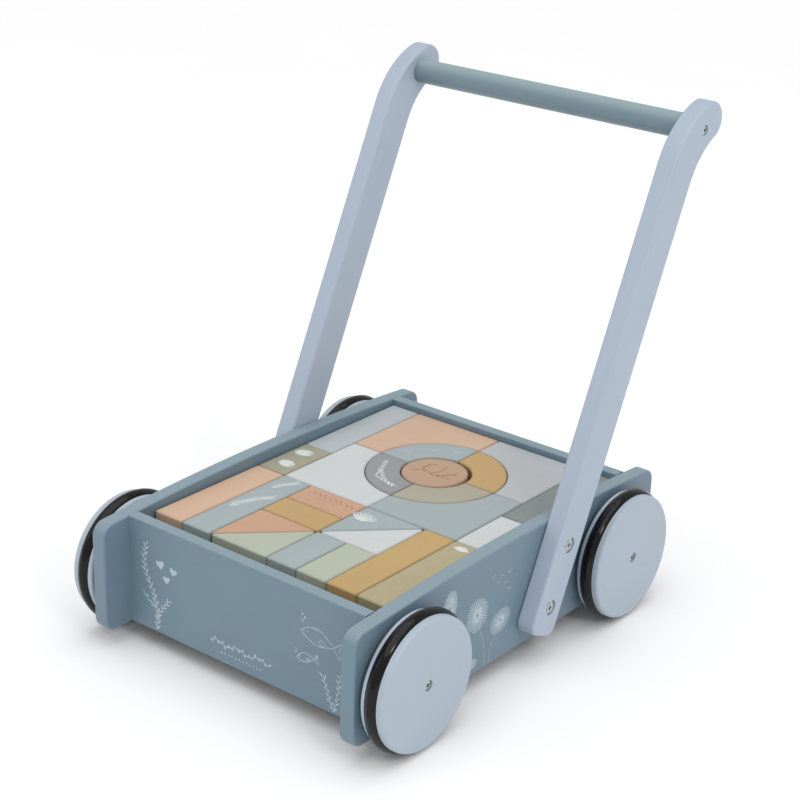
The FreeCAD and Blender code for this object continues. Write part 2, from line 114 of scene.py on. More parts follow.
def new_shape_tree(
    name: str, inputs: dict[str, str]
) -> tuple[bpy.types.NodeTree, Any]:
    """Starts a Geometry Nodes tree with a geometry input, named inputs and a geometry output.

    Args:
        name: The tree's name.
        inputs: Socket types by input name.

    Returns:
        The tree and its inputs' sockets, by name.
    """
    tree = bpy.data.node_groups.new(name, "GeometryNodeTree")
    tree.interface.new_socket("Geometry", in_out="INPUT", socket_type="NodeSocketGeometry")
    for label, kind in inputs.items():
        tree.interface.new_socket(label, in_out="INPUT", socket_type=kind)
    tree.interface.new_socket("Geometry", in_out="OUTPUT", socket_type="NodeSocketGeometry")
    return tree, add_node(tree, "NodeGroupInput").outputs


def end_shape_tree(
    tree: bpy.types.NodeTree, shape: bpy.types.NodeSocket, finish: bpy.types.NodeSocket
) -> bpy.types.NodeTree:
    """Ends a tree in Realize Instances and Set Material.

    Args:
        tree: The tree to end.
        shape: The geometry it has made.
        finish: The material's input socket.

    Returns:
        The same tree.
    """
    real = add_node(tree, "GeometryNodeRealizeInstances", {"Geometry": shape})
    dressed = add_node(
        tree,
        "GeometryNodeSetMaterial",
        {"Geometry": real.outputs["Geometry"], "Material": finish},
    )
    add_node(tree, "NodeGroupOutput", {"Geometry": dressed.outputs["Geometry"]})
    return tree


def new_object(name: str, mesh: bpy.types.Mesh) -> bpy.types.Object:
    """Puts a mesh in the scene as an object at the origin.

    Args:
        name: The object's name.
        mesh: Its mesh.

    Returns:
        The object.
    """
    thing = bpy.data.objects.new(name, mesh)
    bpy.context.scene.collection.objects.link(thing)
    return thing


def grow(
    tree: bpy.types.NodeTree, start: bpy.types.Mesh, values: dict[str, Any]
) -> bpy.types.Mesh:
    """Runs a Geometry Nodes tree on a mesh and gives the result as a plain mesh.

    Args:
        tree: The tree to run.
        start: The mesh that the tree is given.
        values: The tree's inputs by name.

    Returns:
        The finished plain mesh.
    """
    base = bpy.data.objects.new(tree.name, start)
    modifier = base.modifiers.new(tree.name, "NODES")
    modifier.node_group = tree
    for item in tree.interface.items_tree:
        if item.in_out == "INPUT" and item.name in values:
            modifier[item.identifier] = values[item.name]
    bpy.context.scene.collection.objects.link(base)
    bpy.context.view_layer.update()
    depsgraph = bpy.context.evaluated_depsgraph_get()
    mesh = bpy.data.meshes.new_from_object(base.evaluated_get(depsgraph))
    base.modifiers.remove(modifier)
    bpy.data.objects.remove(base)
    return mesh


def merged(
    name: str, parts: list[tuple[bpy.types.Mesh, Matrix]], finish: bpy.types.Material
) -> bpy.types.Mesh:
    """Joins meshes into one of a single material.

    Args:
        name: The new mesh's name.
        parts: Each mesh with the placement that it gets.
        finish: The material.

    Returns:
        The joined mesh.
    """
    work = bmesh.new()
    for mesh, place in parts:
        mesh.transform(place)
        work.from_mesh(mesh)
    for face in work.faces:
        face.material_index = 0
    joined = bpy.data.meshes.new(name)
    work.to_mesh(joined)
    work.free()
    joined.materials.append(finish)
    return joined


def path_mesh(strokes: list[Stroke], closed: bool = False) -> bpy.types.Mesh:
    """Makes a mesh of bare edges from flat strokes.

    Args:
        strokes: Each stroke's points, in millimetres.
        closed: Whether each stroke returns to its start.

    Returns:
        The mesh, in metres.
    """
    points: list[tuple[float, float, float]] = []
    edges: list[tuple[int, int]] = []
    for stroke in strokes:
        first = len(points)
        points += [(u * MM, v * MM, 0.0) for u, v in stroke]
        edges += [(first + step, first + step + 1) for step in range(len(stroke) - 1)]
        if closed:
            edges.append((len(points) - 1, first))
    mesh = bpy.data.meshes.new("path")
    mesh.from_pydata(points, edges, [])
    return mesh


def smooth(points: Stroke, steps: int = 8) -> Stroke:
    """Draws a flowing stroke through a few points.

    Args:
        points: The points that it passes.
        steps: How many short runs there are between two of them.

    Returns:
        The stroke, from the first point to the last.
    """
    padded = [points[0]] + points + [points[-1]]
    stroke: Stroke = []
    for before, start, end, after in zip(padded, padded[1:], padded[2:], padded[3:]):
        for step in range(steps):
            t = step / steps
            stroke.append(tuple(
                0.5 * (2 * b + (c - a) * t + (2 * a - 5 * b + 4 * c - d) * t * t
                       + (3 * b - a - 3 * c + d) * t ** 3)
                for a, b, c, d in zip(before, start, end, after)
            ))
    return stroke + [points[-1]]


def leaned(points: Stroke, centre: Point, turn: float, size: float = 1.0) -> Stroke:
    """Turns, sizes and moves a small figure.

    Args:
        points: Its points about its own middle.
        centre: Where its middle goes.
        turn: Degrees that it leans anticlockwise.
        size: How much larger it gets.

    Returns:
        The points in their places.
    """
    cosine, sine = math.cos(math.radians(turn)), math.sin(math.radians(turn))
    return [
        (centre[0] + size * (u * cosine - v * sine), centre[1] + size * (u * sine + v * cosine))
        for u, v in points
    ]


def oval(centre: Point, half: Point, turn: float = 0.0, steps: int = 28) -> Stroke:
    """Draws an ellipse.

    Args:
        centre: Its middle.
        half: Its half width and half height.
        turn: Degrees that it leans anticlockwise.
        steps: How many points it has.

    Returns:
        The stroke, without its first point again at the end.
    """
    angles = [math.tau * step / steps for step in range(steps)]
    level = [(half[0] * math.cos(angle), half[1] * math.sin(angle)) for angle in angles]
    return leaned(level, centre, turn)


def slab(outline: Stroke, thickness: float) -> bpy.types.Mesh:
    """Makes a thin closed plate about the plane of its outline.

    Args:
        outline: Its corners anticlockwise, in millimetres.
        thickness: In metres.

    Returns:
        The plate's mesh, in metres.
    """
    count = len(outline)
    points = [
        (u * MM, v * MM, level) for level in (-thickness / 2, thickness / 2) for u, v in outline
    ]
    sides = [(i, (i + 1) % count, count + (i + 1) % count, count + i) for i in range(count)]
    caps = [tuple(reversed(range(count))), tuple(range(count, 2 * count))]
    mesh = bpy.data.meshes.new("slab")
    mesh.from_pydata(points, [], sides + caps)
    return mesh


# --------------------------------------------------------------- finishes


class Grain(Enum):
    """Which way a board's fibres run, as the turn in degrees that points a pattern's X that way."""

    CROSSWISE = (0.0, 0.0, 0.0)
    LENGTHWISE = (0.0, 0.0, 90.0)
    UP_THE_LEAN = (0.0, -65.6, 90.0)


class Surface:
    """A material being made: its tree and its object coordinates."""

    def __init__(self, name: str) -> None:
        """Starts a material with nothing but object coordinates.

        Args:
            name: The material's name.
        """
        self.material = bpy.data.materials.new(name)
        self.material.use_nodes = True
        self.tree = self.material.node_tree
        self.tree.nodes.clear()
        self.place = add_node(self.tree, "ShaderNodeTexCoord").outputs["Object"]

    def pattern(
        self, size: tuple[float, float, float], detail: float = 2.0, grain: Grain = Grain.CROSSWISE
    ) -> bpy.types.NodeSocket:
        """Adds cloudy noise whose patches have a real size.

        Args:
            size: Length of a patch along the grain and twice across it, in millimetres.
            detail: How much finer structure it has.
            grain: Which way the patches lie.

        Returns:
            The noise's value socket.
        """
        lie = add_node(
            self.tree,
            "ShaderNodeMapping",
            {
                "Vector": self.place,
                "Rotation": [math.radians(angle) for angle in grain.value],
                "Scale": [length * MM for length in size],
            },
            vector_type="TEXTURE",
        )
        noise = add_node(
            self.tree,
            "ShaderNodeTexNoise",
            {"Vector": lie.outputs["Vector"], "Scale": 1.0, "Detail": detail},
        )
        return noise.outputs["Fac"]

    def edge(self, width: float) -> bpy.types.NodeSocket:
        """Finds the piece's corners.

        Args:
            width: How far from a corner it reaches, in millimetres.

        Returns:
            A value that is 1 on open faces and falls towards corners.
        """
        eased = add_node(self.tree, "ShaderNodeBevel", {"Radius": width * MM}, samples=4)
        plain = add_node(self.tree, "ShaderNodeNewGeometry")
        facing = add_node(
            self.tree,
            "ShaderNodeVectorMath",
            {0: eased.outputs["Normal"], 1: plain.outputs["Normal"]},
            operation="DOT_PRODUCT",
        )
        return facing.outputs["Value"]

    def upward(self) -> bpy.types.NodeSocket:
        """Finds what faces up.

        Returns:
            A value that is 1 on level faces and 0 on upright ones.
        """
        plain = add_node(self.tree, "ShaderNodeNewGeometry")
        parts = add_node(self.tree, "ShaderNodeSeparateXYZ", {0: plain.outputs["Normal"]})
        return parts.outputs["Z"]

    def tint(
        self,
        share: bpy.types.NodeSocket,
        span: Point,
        strength: float,
        body: Colour | bpy.types.NodeSocket,
        other: Colour | bpy.types.NodeSocket,
    ) -> bpy.types.NodeSocket:
        """Mixes another colour into the body colour where a pattern says so.

        Args:
            share: The pattern.
            span: The pattern's values where the other colour begins and where it is fullest.
            strength: The other colour's share where it is fullest.
            body: The body colour.
            other: The other colour.

        Returns:
            The mixed colour.
        """
        ramp = add_node(
            self.tree,
            "ShaderNodeMapRange",
            {"Value": share, "From Min": span[0], "From Max": span[1], "To Max": strength},
        )
        mixed = add_node(
            self.tree,
            "ShaderNodeMix",
            {0: ramp.outputs["Result"], 6: body, 7: other},
            data_type="RGBA",
        )
        return mixed.outputs[2]

    def dress(
        self,
        colour: bpy.types.NodeSocket,
        sheen: bpy.types.NodeSocket,
        roughness: Point,
        bumps: list[tuple[bpy.types.NodeSocket, float]],
        span: Point = (0.3, 0.7),
        constants: dict[str, float] | None = None,
    ) -> bpy.types.Material:
        """Completes the material with its roughness, its bumps and its shader.

        Args:
            colour: The base colour.
            sheen: The pattern that the roughness follows.
            roughness: The roughness at both ends of the pattern's span.
            bumps: Each pattern that stands out, with its depth in millimetres, deepest layer first.
            span: The range of the sheen's pattern that counts.
            constants: Shader inputs that are the same all over.

        Returns:
            The finished material.
        """
        rough = add_node(
            self.tree,
            "ShaderNodeMapRange",
            {
                "Value": sheen,
                "From Min": span[0],
                "From Max": span[1],
                "To Min": roughness[0],
                "To Max": roughness[1],
            },
        )
        under: dict[str, bpy.types.NodeSocket] = {}
        for height, depth in bumps:
            bump = add_node(
                self.tree,
                "ShaderNodeBump",
                {"Strength": 1.0, "Distance": depth * MM, "Height": height, **under},
            )
            under = {"Normal": bump.outputs["Normal"]}
        shader = add_node(
            self.tree,
            "ShaderNodeBsdfPrincipled",
            {
                "Base Color": colour,
                "Roughness": rough.outputs["Result"],
                **under,
                **(constants or {}),
            },
        )
        add_node(self.tree, "ShaderNodeOutputMaterial", {"Surface": shader.outputs["BSDF"]})
        return self.material


@dataclass(frozen=True)
class SatinPaint:
    """Water-based satin lacquer, sprayed on sanded beech or ply.

    It gives an even, chalky colour with a soft sheen. The grain swells a little under the coat,
    and the coat dries with a faint orange peel. Each eased edge carries painted light in another
    tone: a painted highlight where that tone is lighter, painted shade where it is darker. Faces
    that look up can carry a paler colour, a painted highlight of the light from above.
    """

    name: str
    colour: str
    grain: Grain = Grain.CROSSWISE
    grain_depth: float = 0.05
    mottle: float = 0.035
    # Painted light along the eased edges: above 1 a painted highlight, below 1 painted shade
    edge_painted_light: float = 1.18
    edge_width: float = 1.4
    # Painted highlight: faces that look up take this paler colour, as if lit from above
    rim: str | None = None

    def make(self) -> bpy.types.Material:
        """Builds the material.

        Returns:
            The material.
        """
        surface = Surface(self.name)
        # Beech pores are 0.1 mm wide; drawn 1.6 mm wide and 55 mm long so that they show
        fibres = surface.pattern((55.0, 1.6, 1.6), 3.0, self.grain)
        # Clouding from the spray pass, about a hand's width
        clouds = surface.pattern((70.0, 45.0, 45.0), 1.0, self.grain)
        # Orange peel is 0.5 to 1 mm from crest to crest; drawn at 2.2 mm so that it shows
        peel = surface.pattern((2.2, 2.2, 2.2), 1.0)
        dark, light, pale = (
            toned(self.colour, 1 + step * self.mottle) for step in (-1.0, 1.0, 2.4)
        )
        colour = surface.tint(fibres, (0.3, 0.7), 1.0, dark, light)
        colour = surface.tint(clouds, (0.35, 0.9), 1.0, colour, pale)
        # Painted light: a lighter tone along each eased edge is a painted highlight, a darker one
        # painted shade
        corner = surface.edge(self.edge_width)
        colour = surface.tint(
            corner, (1.0, 0.86), 0.85, colour, toned(self.colour, self.edge_painted_light)
        )
        # Painted highlight: faces that look up are mixed towards the paler rim colour, as if lit
        # from above
        if self.rim:
            colour = surface.tint(surface.upward(), (0.35, 0.95), 0.85, colour, linear(self.rim))
        return surface.dress(
            colour, peel, (0.4, 0.5), [(fibres, self.grain_depth), (peel, 0.02)]
        )


@dataclass(frozen=True)
class BareBeech:
    """Planed and sanded beech with no finish.

    Even pinkish tan, with short darker ray flecks along the grain and a dry, open surface.
    """

    name: str = "bare_sanded_beech"
    pale: str = "#dcc3a0"
    dark: str = "#c4a077"
    grain: Grain = Grain.CROSSWISE

    def make(self) -> bpy.types.Material:
        """Builds the material.

        Returns:
            The material.
        """
        surface = Surface(self.name)
        # Growth bands 6 mm wide, and ray flecks 2.5 mm long and 0.6 mm wide
        bands = surface.pattern((160.0, 6.0, 6.0), 2.0, self.grain)
        flecks = surface.pattern((2.5, 0.6, 0.6), 1.0, self.grain)
        colour = surface.tint(bands, (0.3, 0.7), 1.0, linear(self.pale), linear(self.dark))
        colour = surface.tint(flecks, (0.58, 0.7), 0.5, colour, toned(self.dark, 0.7))
        return surface.dress(colour, bands, (0.62, 0.74), [(flecks, 0.06)])


@dataclass(frozen=True)
class GlossRubber:
    """Black nitrile rubber ring, moulded in a polished tool.

    Deep warm black with sharp, slightly wavy highlights, duller where dust and handling touch it.
    """

    name: str = "moulded_gloss_rubber"
    colour: str = "#0d0c0d"
    specular: float = 0.28

    def make(self) -> bpy.types.Material:
        """Builds the material.

        Returns:
            The material.
        """
        surface = Surface(self.name)
        # Flow marks about 9 mm apart, and fine dust at 1.5 mm
        flow = surface.pattern((9.0, 9.0, 9.0), 1.0)
        dust = surface.pattern((1.5, 1.5, 1.5), 3.0)
        colour = surface.tint(
            dust, (0.55, 0.8), 0.35, linear(self.colour), toned(self.colour, 1.5)
        )
        return surface.dress(
            colour, dust, (0.06, 0.15), [(flow, 0.12)], (0.35, 0.7),
            {"Specular IOR Level": self.specular},
        )


@dataclass(frozen=True)
class ZincSteel:
    """Turned steel with bright zinc plating.

    Cool light grey metal with blurred highlights and slightly uneven plating.
    """

    name: str = "zinc_plated_steel"
    colour: str = "#c3c8ca"

    def make(self) -> bpy.types.Material:
        """Builds the material.

        Returns:
            The material.
        """
        surface = Surface(self.name)
        # Plating clouds 3 mm across; turning marks are 0.1 mm and drawn at 0.5 mm so that they show
        clouds = surface.pattern((3.0, 3.0, 3.0), 2.0)
        marks = surface.pattern((0.5, 0.5, 0.5), 1.0)
        colour = surface.tint(
            clouds, (0.35, 0.65), 1.0, toned(self.colour, 0.84), linear(self.colour)
        )
        return surface.dress(
            colour, clouds, (0.26, 0.42), [(marks, 0.01)], constants={"Metallic": 1.0}
        )


@dataclass(frozen=True)
class GreyNylon:
    """Injection-moulded nylon sleeve: mid grey, waxy, with a faint mould texture."""

    name: str = "moulded_grey_nylon"
    colour: str = "#6f7579"

    def make(self) -> bpy.types.Material:
        """Builds the material.

        Returns:
            The material.
        """
        surface = Surface(self.name)
        # Spark-eroded mould texture, 0.8 mm from grain to grain so that it shows
        texture = surface.pattern((0.8, 0.8, 0.8), 2.0)
        colour = surface.tint(
            texture, (0.0, 1.0), 1.0, toned(self.colour, 0.92), toned(self.colour, 1.08)
        )
        return surface.dress(colour, texture, (0.42, 0.55), [(texture, 0.03)])


@dataclass(frozen=True)
class ScreenInk:
    """Water-based ink, printed through a screen on to the paint.

    A flat thin film, drier than the lacquer, that covers a little unevenly.
    """

    name: str
    colour: str
    thin: str

    def make(self) -> bpy.types.Material:
        """Builds the material.

        Returns:
            The material.
        """
        surface = Surface(self.name)
        # Screen mesh leaves pinholes 0.1 mm apart; drawn as patches of 1.2 mm so that they show
        cover = surface.pattern((1.2, 1.2, 1.2), 2.0)
        colour = surface.tint(cover, (0.4, 0.62), 1.0, linear(self.thin), linear(self.colour))
        return surface.dress(colour, cover, (0.5, 0.62), [(cover, 0.01)])


@dataclass(frozen=True)
class MattPaper:
    """Rolled paper backdrop: near white, matt, with very faint clouding."""

    name: str = "matt_paper_floor"
    colour: str = "#fdfdfd"

    def make(self) -> bpy.types.Material:
        """Builds the material.

        Returns:
            The material.
        """
        surface = Surface(self.name)
        # Clouding about 300 mm across
        clouds = surface.pattern((300.0, 300.0, 300.0), 1.0)
        colour = surface.tint(
            clouds, (0.0, 1.0), 1.0, toned(self.colour, 0.985), linear(self.colour)
        )
        return surface.dress(colour, clouds, (0.82, 0.88), [(clouds, 0.01)])


# ------------------------------------------------------------- node trees


NUMBER = "NodeSocketFloat"
COUNT = "NodeSocketInt"
FINISH = "NodeSocketMaterial"
THING = "NodeSocketObject"


def tyre_tree() -> bpy.types.NodeTree:
    """Builds the tree that sweeps a round section with a parting line about a wheel.

    Returns:
        The tree, which makes a ring about Z.
    """
    tree, given = new_shape_tree("moulded_tyre", {
        "Ring Radius": NUMBER,
        "Section Radius": NUMBER,
        "Seam Height": NUMBER,
        "Seam Half Width": NUMBER,
        "Ring Steps": COUNT,
        "Section Steps": COUNT,
        "Finish": FINISH,
    })
    ring = add_node(
        tree,
        "GeometryNodeCurvePrimitiveCircle",
        {"Resolution": given["Ring Steps"], "Radius": given["Ring Radius"]},
    )
    level = add_node(
        tree, "GeometryNodeSetCurveNormal", {"Curve": ring.outputs["Curve"]}, mode="Z_UP"
    )
    section = add_node(
        tree,
        "GeometryNodeCurvePrimitiveCircle",
        {"Resolution": given["Section Steps"], "Radius": given["Section Radius"]},
    )
    place = add_node(tree, "GeometryNodeInputPosition")
    parts = add_node(tree, "ShaderNodeSeparateXYZ", {0: place.outputs[0]})
    off_seam = add_node(tree, "ShaderNodeMath", {0: parts.outputs["Y"]}, operation="ABSOLUTE")
    swell = add_node(
        tree,
        "ShaderNodeMapRange",
        {
            "Value": off_seam.outputs[0],
            "From Min": 0.0,
            "From Max": given["Seam Half Width"],
            "To Min": given["Seam Height"],
            "To Max": 0.0,
        },
        interpolation_type="SMOOTHSTEP",
    )
    outer = add_node(
        tree, "ShaderNodeMath", {0: parts.outputs["X"], 1: 0.0}, operation="GREATER_THAN"
    )
    lift = add_node(
        tree,
        "ShaderNodeMath",
        {0: swell.outputs["Result"], 1: outer.outputs[0]},
        operation="MULTIPLY",
    )
    offset = add_node(tree, "ShaderNodeCombineXYZ", {"X": lift.outputs[0]})
    seamed = add_node(
        tree,
        "GeometryNodeSetPosition",
        {"Geometry": section.outputs["Curve"], "Offset": offset.outputs[0]},
    )
    swept = add_node(
        tree,
        "GeometryNodeCurveToMesh",
        {"Curve": level.outputs["Curve"], "Profile Curve": seamed.outputs["Geometry"]},
    )
    soft = add_node(tree, "GeometryNodeSetShadeSmooth", {"Geometry": swept.outputs["Mesh"]})
    return end_shape_tree(tree, soft.outputs["Geometry"], given["Finish"])


def line_tree() -> bpy.types.NodeTree:
    """Builds the tree that turns strokes into printed lines of an uneven, hand-drawn width.

    Returns:
        The tree.
    """
    tree, given = new_shape_tree("printed_line", {
        "Line Width": NUMBER,
        "Ink Depth": NUMBER,
        "Step": NUMBER,
        "Finish": FINISH,
    })
    drawn = add_node(tree, "GeometryNodeMeshToCurve", {"Mesh": given["Geometry"]})
    even = add_node(
        tree,
        "GeometryNodeResampleCurve",
        {"Curve": drawn.outputs["Curve"], "Length": given["Step"]},
        mode="LENGTH",
    )
    flat = add_node(
        tree, "GeometryNodeSetCurveNormal", {"Curve": even.outputs["Curve"]}, mode="Z_UP"
    )
    nib = add_node(
        tree,
        "GeometryNodeCurvePrimitiveQuadrilateral",
        {"Width": given["Line Width"], "Height": given["Ink Depth"]},
    )
    # The nib's pressure changes over about 7 mm of stroke
    press = add_node(tree, "ShaderNodeTexNoise", {"Scale": 1 / (7 * MM), "Detail": 1.0})
    width = add_node(
        tree,
        "ShaderNodeMapRange",
        {
            "Value": press.outputs["Fac"],
            "From Min": 0.3,
            "From Max": 0.7,
            "To Min": 0.7,
            "To Max": 1.2,
        },
    )
    inked = add_node(
        tree,
        "GeometryNodeCurveToMesh",
        {
            "Curve": flat.outputs["Curve"],
            "Profile Curve": nib.outputs["Curve"],
            "Scale": width.outputs["Result"],
            "Fill Caps": True,
        },
    )
    return end_shape_tree(tree, inked.outputs["Mesh"], given["Finish"])


def leaf_row_tree() -> bpy.types.NodeTree:
    """Builds the tree that sets leaves along a stem, to the left and the right in turn.

    Returns:
        The tree.
    """
    tree, given = new_shape_tree("leaf_row", {
        "Leaf": THING,
        "Spacing": NUMBER,
        "Leaf Angle": NUMBER,
        "Smallest": NUMBER,
        "Largest": NUMBER,
        "Seed": COUNT,
        "Finish": FINISH,
    })
    stem = add_node(tree, "GeometryNodeMeshToCurve", {"Mesh": given["Geometry"]})
    nodes = add_node(
        tree,
        "GeometryNodeCurveToPoints",
        {"Curve": stem.outputs["Curve"], "Length": given["Spacing"]},
        mode="LENGTH",
    )
    number = add_node(tree, "GeometryNodeInputIndex").outputs[0]
    parity = add_node(tree, "ShaderNodeMath", {0: number, 1: 2.0}, operation="MODULO")
    # -1 and 1 in turn
    side = add_node(
        tree,
        "ShaderNodeMath",
        {0: parity.outputs[0], 1: 2.0, 2: -1.0},
        operation="MULTIPLY_ADD",
    )
    angle = add_node(
        tree,
        "ShaderNodeMath",
        {0: side.outputs[0], 1: given["Leaf Angle"]},
        operation="MULTIPLY",
    )
    lean = add_node(
        tree,
        "FunctionNodeAxisAngleToRotation",
        {"Axis": (0.0, 0.0, 1.0), "Angle": angle.outputs[0]},
    )
    along = add_node(
        tree,
        "FunctionNodeAlignRotationToVector",
        {"Vector": nodes.outputs["Tangent"]},
        axis="X",
        pivot_axis="Z",
    )
    turn = add_node(
        tree,
        "FunctionNodeRotateRotation",
        {"Rotation": along.outputs[0], "Rotate By": lean.outputs[0]},
        rotation_space="LOCAL",
    )
    size = add_node(
        tree,
        "FunctionNodeRandomValue",
        {2: given["Smallest"], 3: given["Largest"], "ID": number, "Seed": given["Seed"]},
    )
    leaf = add_node(tree, "GeometryNodeObjectInfo", {"Object": given["Leaf"]})
    row = add_node(
        tree,
        "GeometryNodeInstanceOnPoints",
        {
            "Points": nodes.outputs["Points"],
            "Instance": leaf.outputs["Geometry"],
            "Rotation": turn.outputs[0],
            "Scale": size.outputs[1],
        },
    )
    return end_shape_tree(tree, row.outputs["Instances"], given["Finish"])


def ray_tree() -> bpy.types.NodeTree:
    """Builds the tree that spreads thin rays from one point, each with a dot at its end.

    Returns:
        The tree.
    """
    tree, given = new_shape_tree("ray_fan", {
        "Rays": COUNT,
        "Inner Radius": NUMBER,
        "Outer Radius": NUMBER,
        "Shortest": NUMBER,
        "Start": NUMBER,
        "Sweep": NUMBER,
        "Ray Width": NUMBER,
        "Ink Depth": NUMBER,
        "Dot Radius": NUMBER,
        "Seed": COUNT,
        "Finish": FINISH,
    })
    points = add_node(tree, "GeometryNodePoints", {"Count": given["Rays"]}).outputs[0]
    number = add_node(tree, "GeometryNodeInputIndex").outputs[0]
    gap = add_node(
        tree, "ShaderNodeMath", {0: given["Sweep"], 1: given["Rays"]}, operation="DIVIDE"
    )
    middle = add_node(tree, "ShaderNodeMath", {0: number, 1: 0.5}, operation="ADD")
    turned = add_node(
        tree, "ShaderNodeMath", {0: middle.outputs[0], 1: gap.outputs[0]}, operation="MULTIPLY"
    )
    angle = add_node(
        tree, "ShaderNodeMath", {0: turned.outputs[0], 1: given["Start"]}, operation="ADD"
    )
    spin = add_node(
        tree,
        "FunctionNodeAxisAngleToRotation",
        {"Axis": (0.0, 0.0, 1.0), "Angle": angle.outputs[0]},
    ).outputs[0]
    share = add_node(
        tree,
        "FunctionNodeRandomValue",
        {2: given["Shortest"], 3: 1.0, "ID": number, "Seed": given["Seed"]},
    ).outputs[1]
    reach = add_node(
        tree, "ShaderNodeMath", {0: given["Outer Radius"], 1: share}, operation="MULTIPLY"
    ).outputs[0]

    def placed(distance: bpy.types.NodeSocket) -> bpy.types.NodeSocket:
        """Moves the points out along their rays.

        Args:
            distance: How far from the middle they go.

        Returns:
            The moved points.
        """
        straight = add_node(tree, "ShaderNodeCombineXYZ", {"X": distance})
        out = add_node(
            tree, "FunctionNodeRotateVector", {"Vector": straight.outputs[0], "Rotation": spin}
        )
        moved = add_node(
            tree, "GeometryNodeSetPosition", {"Geometry": points, "Position": out.outputs[0]}
        )
        return moved.outputs["Geometry"]

    bar = add_node(tree, "GeometryNodeMeshCube", {"Size": (1.0, 1.0, 1.0)})
    from_end = add_node(
        tree,
        "GeometryNodeTransform",
        {"Geometry": bar.outputs["Mesh"], "Translation": (0.5, 0.0, 0.0)},
    )
    length = add_node(
        tree, "ShaderNodeMath", {0: reach, 1: given["Inner Radius"]}, operation="SUBTRACT"
    )
    # A shorter ray lies lower, so that no two rays share a plane where they cross
    depth = add_node(
        tree, "ShaderNodeMath", {0: given["Ink Depth"], 1: share}, operation="MULTIPLY"
    )
    size = add_node(
        tree,
        "ShaderNodeCombineXYZ",
        {"X": length.outputs[0], "Y": given["Ray Width"], "Z": depth.outputs[0]},
    )
    rays = add_node(
        tree,
        "GeometryNodeInstanceOnPoints",
        {
            "Points": placed(given["Inner Radius"]),
            "Instance": from_end.outputs["Geometry"],
            "Rotation": spin,
            "Scale": size.outputs[0],
        },
    )
    dot = add_node(
        tree,
        "GeometryNodeMeshCylinder",
        {"Vertices": 8, "Radius": given["Dot Radius"], "Depth": given["Ink Depth"]},
    )
    dots = add_node(
        tree,
        "GeometryNodeInstanceOnPoints",
        {"Points": placed(reach), "Instance": dot.outputs["Mesh"]},
    )
    both = add_node(tree, "GeometryNodeJoinGeometry", {0: rays.outputs["Instances"]})
    tree.links.new(dots.outputs["Instances"], both.inputs[0])
    return end_shape_tree(tree, both.outputs["Geometry"], given["Finish"])


def fastener_tree() -> bpy.types.NodeTree:
    """Builds the tree that cuts a thread on a fastener and sets one at each place.

    Returns:
        The tree.
    """
    tree, given = new_shape_tree("fasteners", {
        "Blank": THING,
        "Thread Radius": NUMBER,
        "Thread Depth": NUMBER,
        "Thread Pitch": NUMBER,
        "Thread Length": NUMBER,
        "Shank Length": NUMBER,
        "Finish": FINISH,
    })
    turns = add_node(
        tree,
        "ShaderNodeMath",
        {0: given["Thread Length"], 1: given["Thread Pitch"]},
        operation="DIVIDE",
    )
    helix = add_node(
        tree,
        "GeometryNodeCurveSpiral",
        {
            "Resolution": 20,
            "Rotations": turns.outputs[0],
            "Start Radius": given["Thread Radius"],
            "End Radius": given["Thread Radius"],
            "Height": given["Thread Length"],
        },
    )
    ridge = add_node(
        tree,
        "GeometryNodeCurvePrimitiveCircle",
        {"Resolution": 3, "Radius": given["Thread Depth"]},
    )
    thread = add_node(
        tree,
        "GeometryNodeCurveToMesh",
        {
            "Curve": helix.outputs["Curve"],
            "Profile Curve": ridge.outputs["Curve"],
            "Fill Caps": True,
        },
    )
    drop = add_node(
        tree, "ShaderNodeMath", {0: given["Shank Length"], 1: -1.0}, operation="MULTIPLY"
    )
    down = add_node(tree, "ShaderNodeCombineXYZ", {"Z": drop.outputs[0]})
    at_end = add_node(
        tree,
        "GeometryNodeTransform",
        {"Geometry": thread.outputs["Mesh"], "Translation": down.outputs[0]},
    )
    blank = add_node(tree, "GeometryNodeObjectInfo", {"Object": given["Blank"]})
    whole = add_node(tree, "GeometryNodeJoinGeometry", {0: blank.outputs["Geometry"]})
    tree.links.new(at_end.outputs["Geometry"], whole.inputs[0])
    facing = add_node(
        tree, "GeometryNodeInputNamedAttribute", {"Name": "facing"}, data_type="FLOAT_VECTOR"
    )
    turn = add_node(
        tree,
        "FunctionNodeAlignRotationToVector",
        {"Vector": facing.outputs["Attribute"]},
        axis="Z",
    )
    fixed = add_node(
        tree,
        "GeometryNodeInstanceOnPoints",
        {
            "Points": given["Geometry"],
            "Instance": whole.outputs["Geometry"],
            "Rotation": turn.outputs[0],
        },
    )
    return end_shape_tree(tree, fixed.outputs["Instances"], given["Finish"])


class ShapeTrees:
    """The Geometry Nodes trees that the pieces share."""

    def __init__(self) -> None:
        """Builds each tree once."""
        self.tyre = tyre_tree()
        self.line = line_tree()
        self.leaf_row = leaf_row_tree()
        self.rays = ray_tree()
        self.fasteners = fastener_tree()


# -------------------------------------------------------------- fasteners


class Recess(Enum):
    """The driver socket in a fastener's head."""

    HEXAGON = "hexagon"
    CROSS = "cross"

    def reach(self, angle: float, size: float, arm: float) -> float:
        """Gives the socket's outline.

        Args:
            angle: Direction about the fastener's axis, in radians.
            size: Half the size across flats, or half the length of a cross.
            arm: Half the width of a cross's arms.

        Returns:
            How far the socket reaches that way.
        """
        if self is Recess.HEXAGON:
            off_flat = (angle + math.pi / 6) % (math.pi / 3) - math.pi / 6
            return size / math.cos(off_flat)
        off_arm = abs((angle + math.pi / 4) % (math.pi / 2) - math.pi / 4)
        if math.tan(off_arm) * size <= arm:
            return size / math.cos(off_arm)
        return arm / math.sin(off_arm)


LATHE_STEPS = 72
SHARP_ANGLE = 35.0
